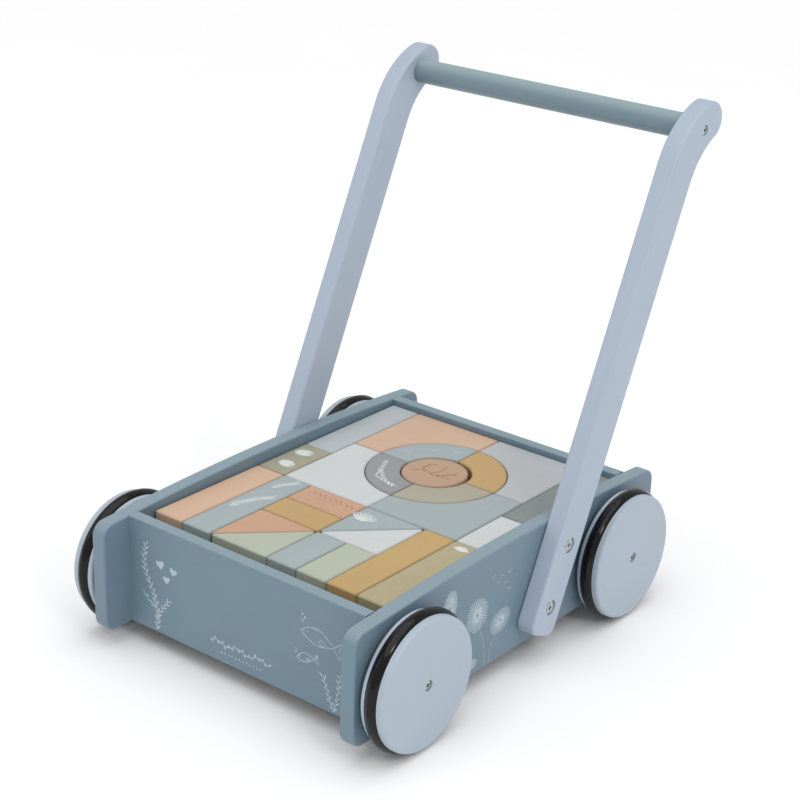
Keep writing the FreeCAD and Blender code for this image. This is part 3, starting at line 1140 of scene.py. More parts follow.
# Millimetres that a head is eased by at its rim and underneath, and a shank at its tip
CROWN_EASE = 0.45
RIM_BREAK = 0.12
RIM_DROP = 0.4
UNDER_HEIGHT = 0.25
UNDER_EASE = 0.2
TIP_LENGTH = 0.8
TIP_EASE = 0.7
# How deep the socket's walls begin to slope to its floor
SOCKET_WALL = 0.3
# A grooved head's ring, as shares of the head's radius from edge to edge
GROOVE_EDGES = (0.68, 0.7, 0.8, 0.82)


@dataclass
class Fastener:
    """A screw or bolt whose head faces +Z and whose shank runs down -Z. Sizes in millimetres."""

    name: str
    recess: Recess
    head_radius: float
    head_height: float
    dome: float
    socket_size: float
    socket_depth: float
    shank_radius: float
    shank_length: float
    thread_length: float
    arm: float = 0.75
    pitch: float = 1.0
    thread_depth: float = 0.3
    groove: float = 0.0

    def crown(self, radius: float) -> float:
        """Height of the domed head at a radius."""
        return self.head_height - self.dome * (radius / self.head_radius) ** 2

    def socket_ring(self, angles: list[float], share: float, drop: float) -> list[Vector]:
        """Makes one ring of points round the driver socket.

        Args:
            angles: The directions of its points.
            share: The ring's size as a share of the socket's.
            drop: How far it lies below the head's face.

        Returns:
            The points.
        """
        ring = []
        for angle in angles:
            radius = share * self.recess.reach(angle, self.socket_size, self.arm)
            ring.append(Vector((
                radius * math.cos(angle), radius * math.sin(angle), self.crown(radius) - drop
            )))
        return ring

    def blank(self) -> bpy.types.Object:
        """Turns the head and shank, and sinks the socket.

        Returns:
            One fastener without its thread, as an object.
        """
        corner = math.atan2(self.arm, self.socket_size)
        marks = [quarter * math.pi / 2 + side * corner for quarter in range(4) for side in (-1, 1)]
        evenly = [math.tau * step / LATHE_STEPS for step in range(LATHE_STEPS)]
        angles = sorted(set(round(angle % math.tau, 6) for angle in evenly + marks))
        inner = self.head_radius - CROWN_EASE
        turned = [
            (share * self.head_radius, self.crown(share * self.head_radius) - depth)
            for share, depth in zip(GROOVE_EDGES, (0.0, self.groove, self.groove, 0.0))
        ] if self.groove else []
        turned += [
            (inner, self.crown(inner)),
            (self.head_radius - RIM_BREAK, self.crown(self.head_radius) - RIM_BREAK),
            (self.head_radius, self.crown(self.head_radius) - RIM_DROP),
            (self.head_radius, UNDER_HEIGHT),
            (self.head_radius - UNDER_EASE, 0.0),
            (self.shank_radius, 0.0),
            (self.shank_radius, -self.shank_length + TIP_LENGTH),
            (self.shank_radius - TIP_EASE, -self.shank_length),
        ]
        # From the socket's floor out to the flat round its mouth
        sunk = ((0.88, self.socket_depth), (0.96, SOCKET_WALL), (1.0, 0.0), (1.12, 0.0))
        rings = [self.socket_ring(angles, share, drop) for share, drop in sunk]
        rings += [
            [Vector((radius * math.cos(a), radius * math.sin(a), level)) for a in angles]
            for radius, level in turned
        ]
        work = bmesh.new()
        loops = [[work.verts.new(point * MM) for point in ring] for ring in rings]
        count = len(angles)
        for upper, lower in zip(loops, loops[1:]):
            for step in range(count):
                after = (step + 1) % count
                work.faces.new((upper[step], upper[after], lower[after], lower[step]))
        work.faces.new(loops[0])
        work.faces.new(list(reversed(loops[-1])))
        bmesh.ops.recalc_face_normals(work, faces=work.faces)
        mesh = bpy.data.meshes.new(self.name)
        work.to_mesh(mesh)
        work.free()
        mesh.shade_smooth()
        mesh.set_sharp_from_angle(angle=math.radians(SHARP_ANGLE))
        return new_object(self.name + "_blank", mesh)

    def build(
        self,
        tree: bpy.types.NodeTree,
        places: list[tuple[Vector, Vector]],
        finish: bpy.types.Material,
    ) -> bpy.types.Object:
        """Makes one piece of all the fasteners of this kind.

        Args:
            tree: The fastener tree.
            places: For each one, the point under its head and the way that it faces.
            finish: Its material.

        Returns:
            The piece.
        """
        spots = bpy.data.meshes.new("spots")
        spots.from_pydata([place for place, _ in places], [], [])
        facing = spots.attributes.new("facing", "FLOAT_VECTOR", "POINT")
        for spot, (_, way) in zip(facing.data, places):
            spot.vector = way
        blank = self.blank()
        mesh = grow(tree, spots, {
            "Blank": blank,
            "Thread Radius": self.shank_radius * MM,
            "Thread Depth": self.thread_depth * MM,
            "Thread Pitch": self.pitch * MM,
            "Thread Length": self.thread_length * MM,
            "Shank Length": self.shank_length * MM,
            "Finish": finish,
        })
        bpy.data.objects.remove(blank)
        return new_object(self.name, mesh)


# ------------------------------------------------------------ printed work


class Face(Enum):
    """A flat face to print on, as the ways that a drawing's right and up point on it."""

    FRONT = ((1.0, 0.0, 0.0), (0.0, 0.0, 1.0))
    RIGHT = ((0.0, 1.0, 0.0), (0.0, 0.0, 1.0))
    LEFT = ((0.0, -1.0, 0.0), (0.0, 0.0, 1.0))
    TOP = ((1.0, 0.0, 0.0), (0.0, 1.0, 0.0))

    def plane(self, origin: Vector) -> Matrix:
        """Works out the placement that puts a flat drawing on this face.

        Args:
            origin: Where the drawing's zero goes.

        Returns:
            The placement.
        """
        right, up = (Vector(way) for way in self.value)
        turn = Matrix((right, up, right.cross(up))).transposed()
        return Matrix.Translation(origin) @ turn.to_4x4()


LEAF_STATIONS = (0.0, 0.12, 0.28, 0.45, 0.62, 0.78, 0.9, 1.0)


class Drawing:
    """One printed drawing on its own plane, in millimetres, with U to the right and V up."""

    INK_DEPTH = 0.06
    # Filled patches lie a little higher than lines, so that no two share a plane where they meet
    PATCH_LIFT = 1.15
    LINE_STEP = 0.8

    def __init__(self, trees: ShapeTrees, ink: bpy.types.Material) -> None:
        """Starts an empty drawing.

        Args:
            trees: The shared trees.
            ink: The ink that it is printed in.
        """
        self.trees = trees
        self.ink = ink
        self.parts: list[tuple[bpy.types.Mesh, Matrix]] = []

    def add(self, mesh: bpy.types.Mesh, place: Matrix | None = None) -> None:
        """Adds a flat mesh to the drawing, moved as given."""
        self.parts.append((mesh, place or Matrix.Identity(4)))

    def lines(self, strokes: list[Stroke], width: float = 0.8, closed: bool = False) -> None:
        """Draws lines along strokes.

        Args:
            strokes: The strokes.
            width: The lines' width.
            closed: Whether each one returns to its start.
        """
        self.add(grow(self.trees.line, path_mesh(strokes, closed), {
            "Line Width": width * MM,
            "Ink Depth": self.INK_DEPTH * MM,
            "Step": self.LINE_STEP * MM,
            "Finish": self.ink,
        }))

    def patch(self, outline: Stroke) -> None:
        """Fills an outline with ink."""
        self.add(slab(outline, self.PATCH_LIFT * self.INK_DEPTH * MM))

    def leaves(
        self,
        stems: list[Stroke],
        length: float,
        spacing: float,
        angle: float = 38.0,
        width: float = 0.36,
        seed: int = 1,
    ) -> None:
        """Sets leaves along stems.

        Args:
            stems: The strokes that they stand on.
            length: The largest leaf's length.
            spacing: How far apart they are.
            angle: How far they lean off the stem, in degrees.
            width: A leaf's width as a share of its length.
            seed: Picks the order of their sizes.
        """
        half = width * length / 2
        above = [(length * t, half * math.sin(math.pi * t ** 0.8)) for t in LEAF_STATIONS]
        below = [(u, -v) for u, v in above[1:-1]]
        outline = [above[0]] + below + [above[-1]] + list(reversed(above[1:-1]))
        leaf = new_object("leaf", slab(outline, self.INK_DEPTH * MM))
        self.add(grow(self.trees.leaf_row, path_mesh(stems), {
            "Leaf": leaf,
            "Spacing": spacing * MM,
            "Leaf Angle": math.radians(angle),
            "Smallest": 0.65,
            "Largest": 1.0,
            "Seed": seed,
            "Finish": self.ink,
        }))
        bpy.data.objects.remove(leaf)

    def rays(
        self,
        centre: Point,
        radius: float,
        count: int,
        start: float = 0.0,
        sweep: float = 360.0,
        squash: float = 1.0,
        turn: float = 0.0,
        inner: float = 0.15,
        width: float = 0.45,
        dot: float = 0.5,
        seed: int = 1,
        shortest: float = 0.8,
    ) -> None:
        """Draws rays that spread from a point.

        Args:
            centre: The point.
            radius: How far the longest reaches.
            count: How many there are.
            start: Direction of the first, in degrees from U.
            sweep: Angle that they fill, in degrees.
            squash: Height of the whole as a share of its width.
            turn: Degrees that the whole leans anticlockwise.
            inner: Where they begin, as a share of the radius.
            width: A ray's width.
            dot: Radius of the dot at its end.
            seed: Picks the order of their lengths.
            shortest: The shortest ray as a share of the longest.
        """
        mesh = grow(self.trees.rays, bpy.data.meshes.new("start"), {
            "Rays": count,
            "Inner Radius": inner * radius * MM,
            "Outer Radius": radius * MM,
            "Shortest": shortest,
            "Start": math.radians(start),
            "Sweep": math.radians(sweep),
            "Ray Width": width * MM,
            "Ink Depth": self.INK_DEPTH * MM,
            "Dot Radius": dot * MM,
            "Seed": seed,
            "Finish": self.ink,
        })
        where = Matrix.Translation((centre[0] * MM, centre[1] * MM, 0.0))
        lean = Matrix.Rotation(math.radians(turn), 4, "Z")
        self.add(mesh, where @ lean @ Matrix.Diagonal((1.0, squash, 1.0, 1.0)))

    def sprig(self, stem: Stroke, length: float, spacing: float, seed: int = 1) -> None:
        """Draws a curved stem with leaves on both sides and one at its tip.

        Args:
            stem: The points that the stem passes.
            length: The largest leaf's length.
            spacing: How far apart the leaves are.
            seed: Picks the order of their sizes.
        """
        curve = smooth(stem)
        self.lines([curve], 0.55)
        self.leaves([curve], length, spacing, width=0.27, seed=seed)

    def seed_head(
        self, centre: Point, radius: float, stem: Stroke, squash: float, turn: float, seed: int
    ) -> None:
        """Draws a round seed head of fine rays on a long stem.

        Args:
            centre: The head's middle.
            radius: Its half width.
            stem: The stem's points, from the head down.
            squash: The head's height as a share of its width.
            turn: Degrees that the head leans.
            seed: Picks the rays' lengths.
        """
        self.rays(centre, radius, 38, 0, 360, squash, turn, 0.1, 0.8, 0.55, seed, 0.9)
        self.lines([smooth(stem)], 0.4)

    def fish(self, centre: Point, length: float, turn: float) -> None:
        """Draws a plain fish with three bubbles.

        Args:
            centre: Its middle.
            length: From nose to tail.
            turn: Degrees that it leans anticlockwise.
        """
        back = [(-0.5, -0.01), (-0.3, 0.15), (-0.02, 0.19), (0.2, 0.08), (0.34, 0.03)]
        belly = [(-0.5, -0.01), (-0.32, -0.11), (-0.02, -0.14), (0.2, -0.05), (0.34, 0.0)]
        tail = [(0.34, 0.03), (0.43, 0.13), (0.52, 0.2), (0.46, 0.02), (0.5, -0.16), (0.41, -0.09),
                (0.34, 0.0)]
        fin = [(-0.06, -0.03), (0.04, -0.1), (0.1, -0.02), (-0.04, 0.01)]
        for points in (back, belly, tail, fin):
            self.lines([smooth(leaned(points, centre, turn, length), 6)], 0.75)
        eye, *bubbles = leaned(
            [(-0.35, 0.04), (-0.5, 0.2), (-0.44, 0.29), (-0.52, 0.34)], centre, turn, length
        )
        self.patch(oval(eye, (0.7, 0.7), steps=10))
        for spot, size in zip(bubbles, (0.035, 0.025, 0.02)):
            self.lines([oval(spot, (size * length, size * length), steps=12)], 0.6, True)

    def bud(self, centre: Point, size: float, turn: float) -> None:
        """Fills a small two-lobed bud.

        Args:
            centre: Its middle.
            size: Its width.
            turn: Degrees that it leans anticlockwise.
        """
        angles = [math.tau * step / 24 for step in reversed(range(24))]
        outline = [
            (0.5 * math.sin(a) ** 3,
             0.4 * math.cos(a) - 0.16 * math.cos(2 * a) - 0.06 * math.cos(3 * a))
            for a in angles
        ]
        self.patch(leaned(outline, centre, turn, size))

    def wing_mark(self, centre: Point, size: float, turn: float = 0.0) -> None:
        """Draws a small open V with curved arms.

        Args:
            centre: Its middle.
            size: Half its width.
            turn: Degrees that it leans anticlockwise.
        """
        points = [(-1.0, 0.35), (-0.5, 0.3), (0.0, -0.3), (0.4, 0.2), (1.0, 0.25)]
        self.lines([smooth(leaned(points, centre, turn, size), 5)], 0.42)

    def lay(self, name: str, plane: Matrix, body: str) -> bpy.types.Object:
        """Puts the drawing on a face as one piece.

        Args:
            name: The piece's name.
            plane: The face's placement.
            body: The body that it moves with.

        Returns:
            The piece.
        """
        mesh = merged(name, self.parts, self.ink)
        mesh.transform(plane)
        piece = new_object(name, mesh)
        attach(piece, body)
        LOG.info("%s: %d faces on %s", name, len(mesh.polygons), body)
        return piece


# ------------------------------------------------------------ sub-assemblies


def dress_node(name: str, finish: bpy.types.Material) -> None:
    """Gives a CAD node its finished material.

    Args:
        name: The node's name.
        finish: Its material.
    """
    for material_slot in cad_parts[name].material_slots:
        material_slot.material = finish
    LOG.info("%s: %s", name, finish.name)


@dataclass
class Tray:
    """The open tray: its panels, its floor and what is printed on its outside."""

    trees: ShapeTrees
    paint: str = "#6f8594"
    print_ink: ScreenInk = ScreenInk("screen_ink_pale_grey", "#bfccd3", "#a3b4be")
    grain_depth: float = 0.025
    mottle: float = 0.02
    # Painted highlight: the paler colour of the panels' upward faces, as if lit from above
    rim: str = "#879aa3"

    def build(self) -> None:
        """Dresses the boards and prints the panels."""
        lengthwise, crosswise = (
            SatinPaint(
                name, self.paint, grain, self.grain_depth, self.mottle, rim=self.rim
            ).make()
            for name, grain in (
                ("satin_paint_dusty_blue", Grain.LENGTHWISE),
                ("satin_paint_dusty_blue_end", Grain.CROSSWISE),
            )
        )
        beech = BareBeech().make()
        rail_beech = BareBeech("bare_sanded_beech_rail", grain=Grain.LENGTHWISE).make()
        for side in ("left", "right"):
            dress_node("side_panel_" + side, lengthwise)
            dress_node("floor_rail_" + side, rail_beech)
        for node in ("front_panel", "rear_panel"):
            dress_node(node, crosswise)
        for node in ("tray_floor", "panel_dowels"):
            dress_node(node, beech)
        ink = self.print_ink.make()
        self.print_front(ink)
        self.print_side(ink, "right", Face.RIGHT)
        self.print_side(ink, "left", Face.LEFT)

    def print_front(self, ink: bpy.types.Material) -> None:
        """Prints the front panel: sprigs at both sides, a garland in the middle and two fish.

        Args:
            ink: The ink.
        """
        low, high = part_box("front_panel")
        drawing = Drawing(self.trees, ink)
        drawing.sprig([(-99, 3), (-97, 19), (-103, 40), (-112, 60), (-110, 80)], 7.0, 2.8, 3)
        drawing.sprig([(-98, 12), (-93, 22), (-84, 34)], 6.0, 2.6, 5)
        drawing.sprig([(-99, 22), (-107, 28), (-113, 33)], 5.0, 2.6, 7)
        for spot, size, turn in (((-93, 66), 9.5, 12), ((-78, 64), 8.5, -14), ((-86, 54), 8.0, 4)):
            drawing.bud(spot, size, turn)
        wave = [(-35 + 4 * step, 18 + 1.6 * math.sin(step * 1.05)) for step in range(17)]
        drawing.lines([smooth(wave, 4)], 0.7)
        drawing.leaves([smooth(wave, 4)], 4.6, 3.9, 48, 0.42, 11)
        dots = [(-23 + 4 * step, 9.5 + 0.5 * (step % 2)) for step in range(12)]
        for spot in dots:
            drawing.patch(oval(spot, (0.75, 0.75), steps=10))
        drawing.fish((85, 61), 42, -8)
        drawing.fish((71, 40), 23, 12)
        drawing.sprig([(99, 2), (95, 12), (88, 30)], 6.0, 2.6, 13)
        drawing.sprig([(100, 4), (103, 18), (105, 37)], 6.0, 2.6, 17)
        origin = Vector(((low.x + high.x) / 2, low.y, low.z))
        drawing.lay("print_front_panel", Face.FRONT.plane(origin), CHASSIS)

    def print_side(self, ink: bpy.types.Material, side: str, face: Face) -> None:
        """Prints a side panel: three seed heads on stems and a few wing marks.

        Args:
            ink: The ink.
            side: "left" or "right".
            face: The face that looks outward on that side.
        """
        low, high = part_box("side_panel_" + side)
        along = 1.0 if face is Face.RIGHT else -1.0
        drawing = Drawing(self.trees, ink)
        heads = (
            ((117, 76), 9.5, [(116, 62), (113, 40), (114, 3)], 1.7, -12, 21),
            ((155, 55), 14.5, [(158, 42), (166, 24), (168, 3)], 1.08, -6, 23),
            ((188, 37), 14.5, [(182, 27), (175, 14), (174, 3)], 0.74, 16, 29),
        )
        for (u, v), radius, stem, squash, turn, seed in heads:
            turned = [(along * x, y) for x, y in stem]
            drawing.seed_head((along * u, v), radius, turned, squash, along * turn, seed)
        drawing.rays((along * 152, 11), 5.2, 16, width=0.6, seed=31)
        marks = ((176, 82, 8), (188, 79, -10), (198, 79, 12), (183, 74, -6), (194, 71, 10),
                 (198, 63, -12))
        for u, v, turn in marks:
            drawing.wing_mark((along * u, v), 3.2, turn)
        origin = Vector((high.x if face is Face.RIGHT else low.x, low.y, low.z))
        drawing.lay("print_side_panel_" + side, face.plane(origin), CHASSIS)


@dataclass
class Wheels:
    """Four painted wooden wheels with moulded tyres, their axle bolts and what holds those."""

    trees: ShapeTrees
    paint: str = "#a8b5c1"
    grain_depth: float = 0.012
    mottle: float = 0.012
    section_radius: float = 6.85
    seam_height: float = 0.15
    seam_half_width: float = 0.6
    ring_steps: int = 160
    section_steps: int = 72
    head_height: float = 4.0

    def build(self, steel: bpy.types.Material) -> None:
        """Builds each wheel's tyre and bolt, and dresses the rest.

        Args:
            steel: The fasteners' material.
        """
        paint = SatinPaint(
            "satin_paint_pale_blue_wheel",
            self.paint,
            Grain.LENGTHWISE,
            self.grain_depth,
            self.mottle,
        ).make()
        rubber = GlossRubber().make()
        for end in ("front", "rear"):
            for side in ("left", "right"):
                place = end + "_" + side
                dress_node("wheel_" + place, paint)
                self.tyre(place, rubber)
                self.axle_bolt(place, side, steel)
        dress_node("axle_tee_nuts", steel)
        dress_node("wheel_spacers", GreyNylon().make())

    def tyre(self, place: str, rubber: bpy.types.Material) -> None:
        """Makes one tyre, and sets it in its wheel's rim.

        Args:
            place: Which wheel, as "front_left".
            rubber: Its material.
        """
        low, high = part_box("tyre_" + place)
        outer = (high.z - low.z) / 2 / MM
        mesh = grow(self.trees.tyre, bpy.data.meshes.new("start"), {
            "Ring Radius": (outer - self.seam_height - self.section_radius) * MM,
            "Section Radius": self.section_radius * MM,
            "Seam Height": self.seam_height * MM,
            "Seam Half Width": self.seam_half_width * MM,
            "Ring Steps": self.ring_steps,
            "Section Steps": self.section_steps,
            "Finish": rubber,
        })
        mesh.transform(
            Matrix.Translation((low + high) / 2) @ Matrix.Rotation(math.pi / 2, 4, "Y")
        )
        piece = new_object("moulded_tyre_" + place, mesh)
        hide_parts("tyre_" + place)
        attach(piece, "wheel_" + place)
        LOG.info("%s: %d faces", piece.name, len(mesh.polygons))

    def axle_bolt(self, place: str, side: str, steel: bpy.types.Material) -> None:
        """Makes one axle bolt with a hexagon socket, and sets it in its wheel's middle.

        Args:
            place: Which wheel.
            side: The side of the walker that it is on.
            steel: Its material.
        """
        low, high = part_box("axle_bolt_" + place)
        outward = Vector((1.0 if side == "right" else -1.0, 0.0, 0.0))
        tip = high.x if side == "right" else low.x
        middle = (low + high) / 2
        under_head = Vector((tip - outward.x * self.head_height * MM, middle.y, middle.z))
        length = (high.x - low.x) / MM - self.head_height
        bolt = Fastener(
            name="axle_bolt_socket_" + place,
            recess=Recess.HEXAGON,
            head_radius=(high.z - low.z) / 2 / MM,
            head_height=self.head_height,
            dome=0.25,
            socket_size=1.5,
            socket_depth=2.2,
            shank_radius=2.95,
            shank_length=length,
            thread_length=12.0,
            thread_depth=0.2,
        )
        piece = bolt.build(self.trees.fasteners, [(under_head, outward)], steel)
        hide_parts("axle_bolt_" + place)
        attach(piece, CHASSIS)
        LOG.info("%s: %d faces", piece.name, len(piece.data.polygons))


@dataclass
class Handle:
    """The push handle: two leaning uprights, the round bar and the bolts that hold them."""

    trees: ShapeTrees
    upright_paint: str = "#a7b4c4"
    bar_paint: str = "#708590"
    # Painted highlight: the paler colour of the bar's upper side, as if lit from above
    bar_painted_highlight: str = "#91a6aa"
    flat_head_radius: float = 6.5
    flat_head_height: float = 1.8
    bar_head_height: float = 3.0

    def build(self, steel: bpy.types.Material) -> None:
        """Dresses the boards and builds the bolts.

        Args:
            steel: The fasteners' material.
        """
        uprights = SatinPaint(
            "satin_paint_pale_blue_upright",
            self.upright_paint,
            Grain.UP_THE_LEAN,
            grain_depth=0.03,
            mottle=0.02,
            # Painted highlight: a lighter tone along the uprights' edges
            edge_painted_light=1.22,
        ).make()
        for side in ("left", "right"):
            dress_node("upright_" + side, uprights)
        dress_node("crossbar", SatinPaint(
            "satin_paint_slate_bar", self.bar_paint, rim=self.bar_painted_highlight
        ).make())
        dress_node("connector_cap_nuts", steel)
        self.connector_bolts(steel)
        self.bar_screws(steel)

    def connector_bolts(self, steel: bpy.types.Material) -> None:
        """Makes the four flat cross-head bolts through the uprights' feet.

        Args:
            steel: Their material.
        """
        low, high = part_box("connector_bolts")
        half = self.flat_head_radius * MM
        spots = ((low.y + half, low.z + half), (high.y - half, high.z - half))
        seat = high.x - self.flat_head_height * MM
        places = [
            (Vector((way * seat, y, z)), Vector((way, 0.0, 0.0)))
            for way in (-1.0, 1.0) for y, z in spots
        ]
        bolt = Fastener(
            name="cross_head_bolts",
            recess=Recess.CROSS,
            head_radius=self.flat_head_radius,
            head_height=self.flat_head_height,
            dome=0.2,
            socket_size=2.7,
            socket_depth=1.4,
            shank_radius=2.95,
            shank_length=28.0,
            thread_length=18.0,
            arm=0.65,
            thread_depth=0.2,
            groove=0.5,
        )
        piece = bolt.build(self.trees.fasteners, places, steel)
        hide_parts("connector_bolts")
        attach(piece, CHASSIS)
        LOG.info("%s: %d faces", piece.name, len(piece.data.polygons))

    def bar_screws(self, steel: bpy.types.Material) -> None:
        """Makes the two socket screws in the ends of the bar.

        Args:
            steel: Their material.
        """
        low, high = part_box("crossbar_screws")
        middle = (low + high) / 2
        seat = high.x - self.bar_head_height * MM
        places = [
            (Vector((way * seat, middle.y, middle.z)), Vector((way, 0.0, 0.0)))
            for way in (-1.0, 1.0)
        ]
        screw = Fastener(
            name="bar_socket_screws",
            recess=Recess.HEXAGON,
            head_radius=(high.z - low.z) / 2 / MM,
            head_height=self.bar_head_height,
            dome=0.25,
            socket_size=1.5,
            socket_depth=1.8,
            shank_radius=2.95,
            shank_length=44.5,
            thread_length=30.0,
            pitch=1.6,
            thread_depth=0.25,
        )
        piece = screw.build(self.trees.fasteners, places, steel)
        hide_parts("crossbar_screws")
        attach(piece, CHASSIS)
        LOG.info("%s: %d faces", piece.name, len(piece.data.polygons))


class BlockPaint(Enum):
    """The lacquer colours of the building blocks."""

    PEACH = "#cbab91"
    BAR_PEACH = "#c29a7e"
    DISC_PEACH = "#b5957b"
    MUSTARD = "#ba9b65"
    WHITE = "#c6caca"
    BLUE = "#9da8aa"
    GREEN = "#aeb4a2"
    SAND = "#a59f8d"
    LONG_SAND = "#ab9f7e"
    OLIVE = "#9e9b87"
    # Painted shade: a darker copy of the olive paint, used for the long olive block
    LONG_OLIVE = "#818886"
    MIST = "#b1b7ba"
    CHARCOAL = "#8e9091"
    LILAC = "#b4b7ba"


BLOCKS: dict[str, tuple[BlockPaint, Grain]] = {
    "block_long_peach": (BlockPaint.PEACH, Grain.LENGTHWISE),
    "block_long_blue": (BlockPaint.BLUE, Grain.LENGTHWISE),
    "block_long_mustard": (BlockPaint.MUSTARD, Grain.LENGTHWISE),
    "block_long_sand": (BlockPaint.LONG_SAND, Grain.LENGTHWISE),
    "block_long_mist": (BlockPaint.MIST, Grain.LENGTHWISE),
    "block_long_olive": (BlockPaint.LONG_OLIVE, Grain.LENGTHWISE),
    "block_short_olive": (BlockPaint.OLIVE, Grain.LENGTHWISE),
    "block_short_white": (BlockPaint.WHITE, Grain.LENGTHWISE),
    "block_short_blue": (BlockPaint.BLUE, Grain.LENGTHWISE),
    "block_short_green": (BlockPaint.GREEN, Grain.LENGTHWISE),
    "block_bar_peach": (BlockPaint.BAR_PEACH, Grain.CROSSWISE),
    "block_bar_mustard": (BlockPaint.MUSTARD, Grain.CROSSWISE),
    "block_triangle_peach": (BlockPaint.BAR_PEACH, Grain.CROSSWISE),
    "block_triangle_green": (BlockPaint.GREEN, Grain.CROSSWISE),
    "block_triangle_blue": (BlockPaint.BLUE, Grain.CROSSWISE),
    "block_triangle_white": (BlockPaint.WHITE, Grain.CROSSWISE),
    "block_notch_white": (BlockPaint.WHITE, Grain.LENGTHWISE),
    "block_notch_peach": (BlockPaint.PEACH, Grain.LENGTHWISE),
    "block_notch_lilac": (BlockPaint.LILAC, Grain.LENGTHWISE),
    "block_notch_blue": (BlockPaint.BLUE, Grain.LENGTHWISE),
    "block_ring_charcoal": (BlockPaint.CHARCOAL, Grain.CROSSWISE),
    "block_ring_blue": (BlockPaint.BLUE, Grain.CROSSWISE),
    "block_ring_mustard": (BlockPaint.MUSTARD, Grain.CROSSWISE),
    "block_ring_sand": (BlockPaint.SAND, Grain.CROSSWISE),
    "block_disc_peach": (BlockPaint.DISC_PEACH, Grain.CROSSWISE),
}


@dataclass
class BlockSet:
    """The building blocks and what is printed on some of them."""

    trees: ShapeTrees
    grain_depth: float = 0.035
    mottle: float = 0.026
    # Painted shade: every block edge is darkened, standing in for the shade in the gaps between
    # blocks
    edge_painted_light: float = 0.3
    edge_width: float = 2.2
    white_ink: ScreenInk = ScreenInk("screen_ink_white", "#e2e6e4", "#c6cccb")
    brown_ink: ScreenInk = ScreenInk("screen_ink_brown", "#75564a", "#936c5b")

    def build(self) -> None:
        """Dresses every block and prints the ones that carry a drawing."""
        coats: dict[tuple[BlockPaint, Grain], bpy.types.Material] = {}
        for name, (paint, grain) in BLOCKS.items():
            if (paint, grain) not in coats:
                label = f"satin_paint_{paint.name.lower()}_{grain.name.lower()}"
                coats[paint, grain] = SatinPaint(
                    label, paint.value, grain, self.grain_depth, self.mottle, self.edge_painted_light,
                    self.edge_width,
                ).make()
            dress_node(name, coats[paint, grain])
        white = self.white_ink.make()
        brown = self.brown_ink.make()
        self.print_shells(white)
        self.print_feathers(white)
        self.print_marks(brown)
        self.print_fan(white)
        self.print_rings(white)
        self.print_branch(brown)
        self.print_seal(white)

    def top(self, name: str) -> Matrix:
        """The placement that puts a drawing on a block's top with its zero in the middle."""
        low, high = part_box(name)
        return Face.TOP.plane(Vector(((low.x + high.x) / 2, (low.y + high.y) / 2, high.z)))

    def finish(self, drawing: Drawing, name: str, slot: str) -> None:
        """Lays a finished drawing on the top of a block."""
        drawing.lay("print_" + name, self.top(name), name)

    def print_shells(self, ink: bpy.types.Material) -> None:
        """Prints two ribbed oval shells.

        Args:
            ink: The ink.
        """
        drawing = Drawing(self.trees, ink)
        for centre, turn, seed in (((-3.0, 15.5), 18, 41), ((1.0, -12.5), -12, 43)):
            drawing.rays(centre, 8.5, 15, 10, 340, 0.7, turn, 0.1, 2.3, 0.9, seed)
            drawing.lines([oval(centre, (8.6, 6.0), turn)], 0.8, True)
        self.finish(drawing, "block_short_olive", "paint_olive")

    def print_feathers(self, ink: bpy.types.Material) -> None:
        """Prints two feathery sprigs along the block.

        Args:
            ink: The ink.
        """
        drawing = Drawing(self.trees, ink)
        upper = smooth([(-7, 37), (-3, 47), (4, 58)])
        lower = smooth([(-9, -14), (-4, 2), (2, 14), (8, 22)])
        for stem, seed in ((upper, 47), (lower, 53)):
            drawing.lines([stem], 0.7)
            drawing.leaves([stem], 8.0, 1.7, 34, 0.15, seed)
        self.finish(drawing, "block_long_blue", "paint_blue")

    def print_marks(self, ink: bpy.types.Material) -> None:
        """Prints a row of small leaning dashes and dots.

        Args:
            ink: The ink.
        """
        drawing = Drawing(self.trees, ink)
        row = [(-24.0 + 4.0 * step, 6.0) for step in range(13)]
        drawing.leaves([row], 4.2, 3.0, 62, 0.34, seed=59)
        for step in range(7):
            drawing.patch(oval((-12.0 + 4.0 * step, -1.5), (0.6, 0.6), steps=10))
        self.finish(drawing, "block_bar_peach", "paint_peach")

    def print_fan(self, ink: bpy.types.Material) -> None:
        """Prints a fan shell.

        Args:
            ink: The ink.
        """
        drawing = Drawing(self.trees, ink)
        centre = (-19.0, 4.5)
        drawing.rays(centre, 14.5, 9, 28, 124, 1.0, 0, 0.12, 1.5, 0.9, 61)
        radius = 15.4
        turns = [math.radians(angle) for angle in range(30, 152, 8)]
        rim = [
            (centre[0] + radius * math.cos(a), centre[1] + radius * math.sin(a)) for a in turns
        ]
        drawing.lines([rim], 0.7)
        self.finish(drawing, "block_triangle_blue", "paint_blue")

    def print_rings(self, ink: bpy.types.Material) -> None:
        """Prints a leafy curve on the dark ring quarter and wing marks on the blue one.

        Args:
            ink: The ink.
        """
        drawing = Drawing(self.trees, ink)
        corner, radius = 32.0, 49.0
        turns = [math.radians(angle) for angle in range(12, 80, 6)]
        bend = [(corner - radius * math.cos(a), corner - radius * math.sin(a)) for a in turns]
        shoot = smooth([bend[-1], (-1.5, -11.0), (-6.0, -3.5), (-8.0, 4.0)])
        drawing.lines([bend, shoot], 0.6)
        drawing.leaves([bend], 5.6, 2.6, 34, 0.26, 67)
        drawing.leaves([shoot], 4.2, 2.6, 34, 0.26, 69)
        self.finish(drawing, "block_ring_charcoal", "paint_charcoal")
        marks = Drawing(self.trees, ink)
        for u, v, turn in ((18.5, 15.5, 20), (1.0, 5.0, 38), (-15.0, -13.0, 60)):
            marks.wing_mark((u, v), 5.2, turn)
        self.finish(marks, "block_ring_blue", "paint_blue")

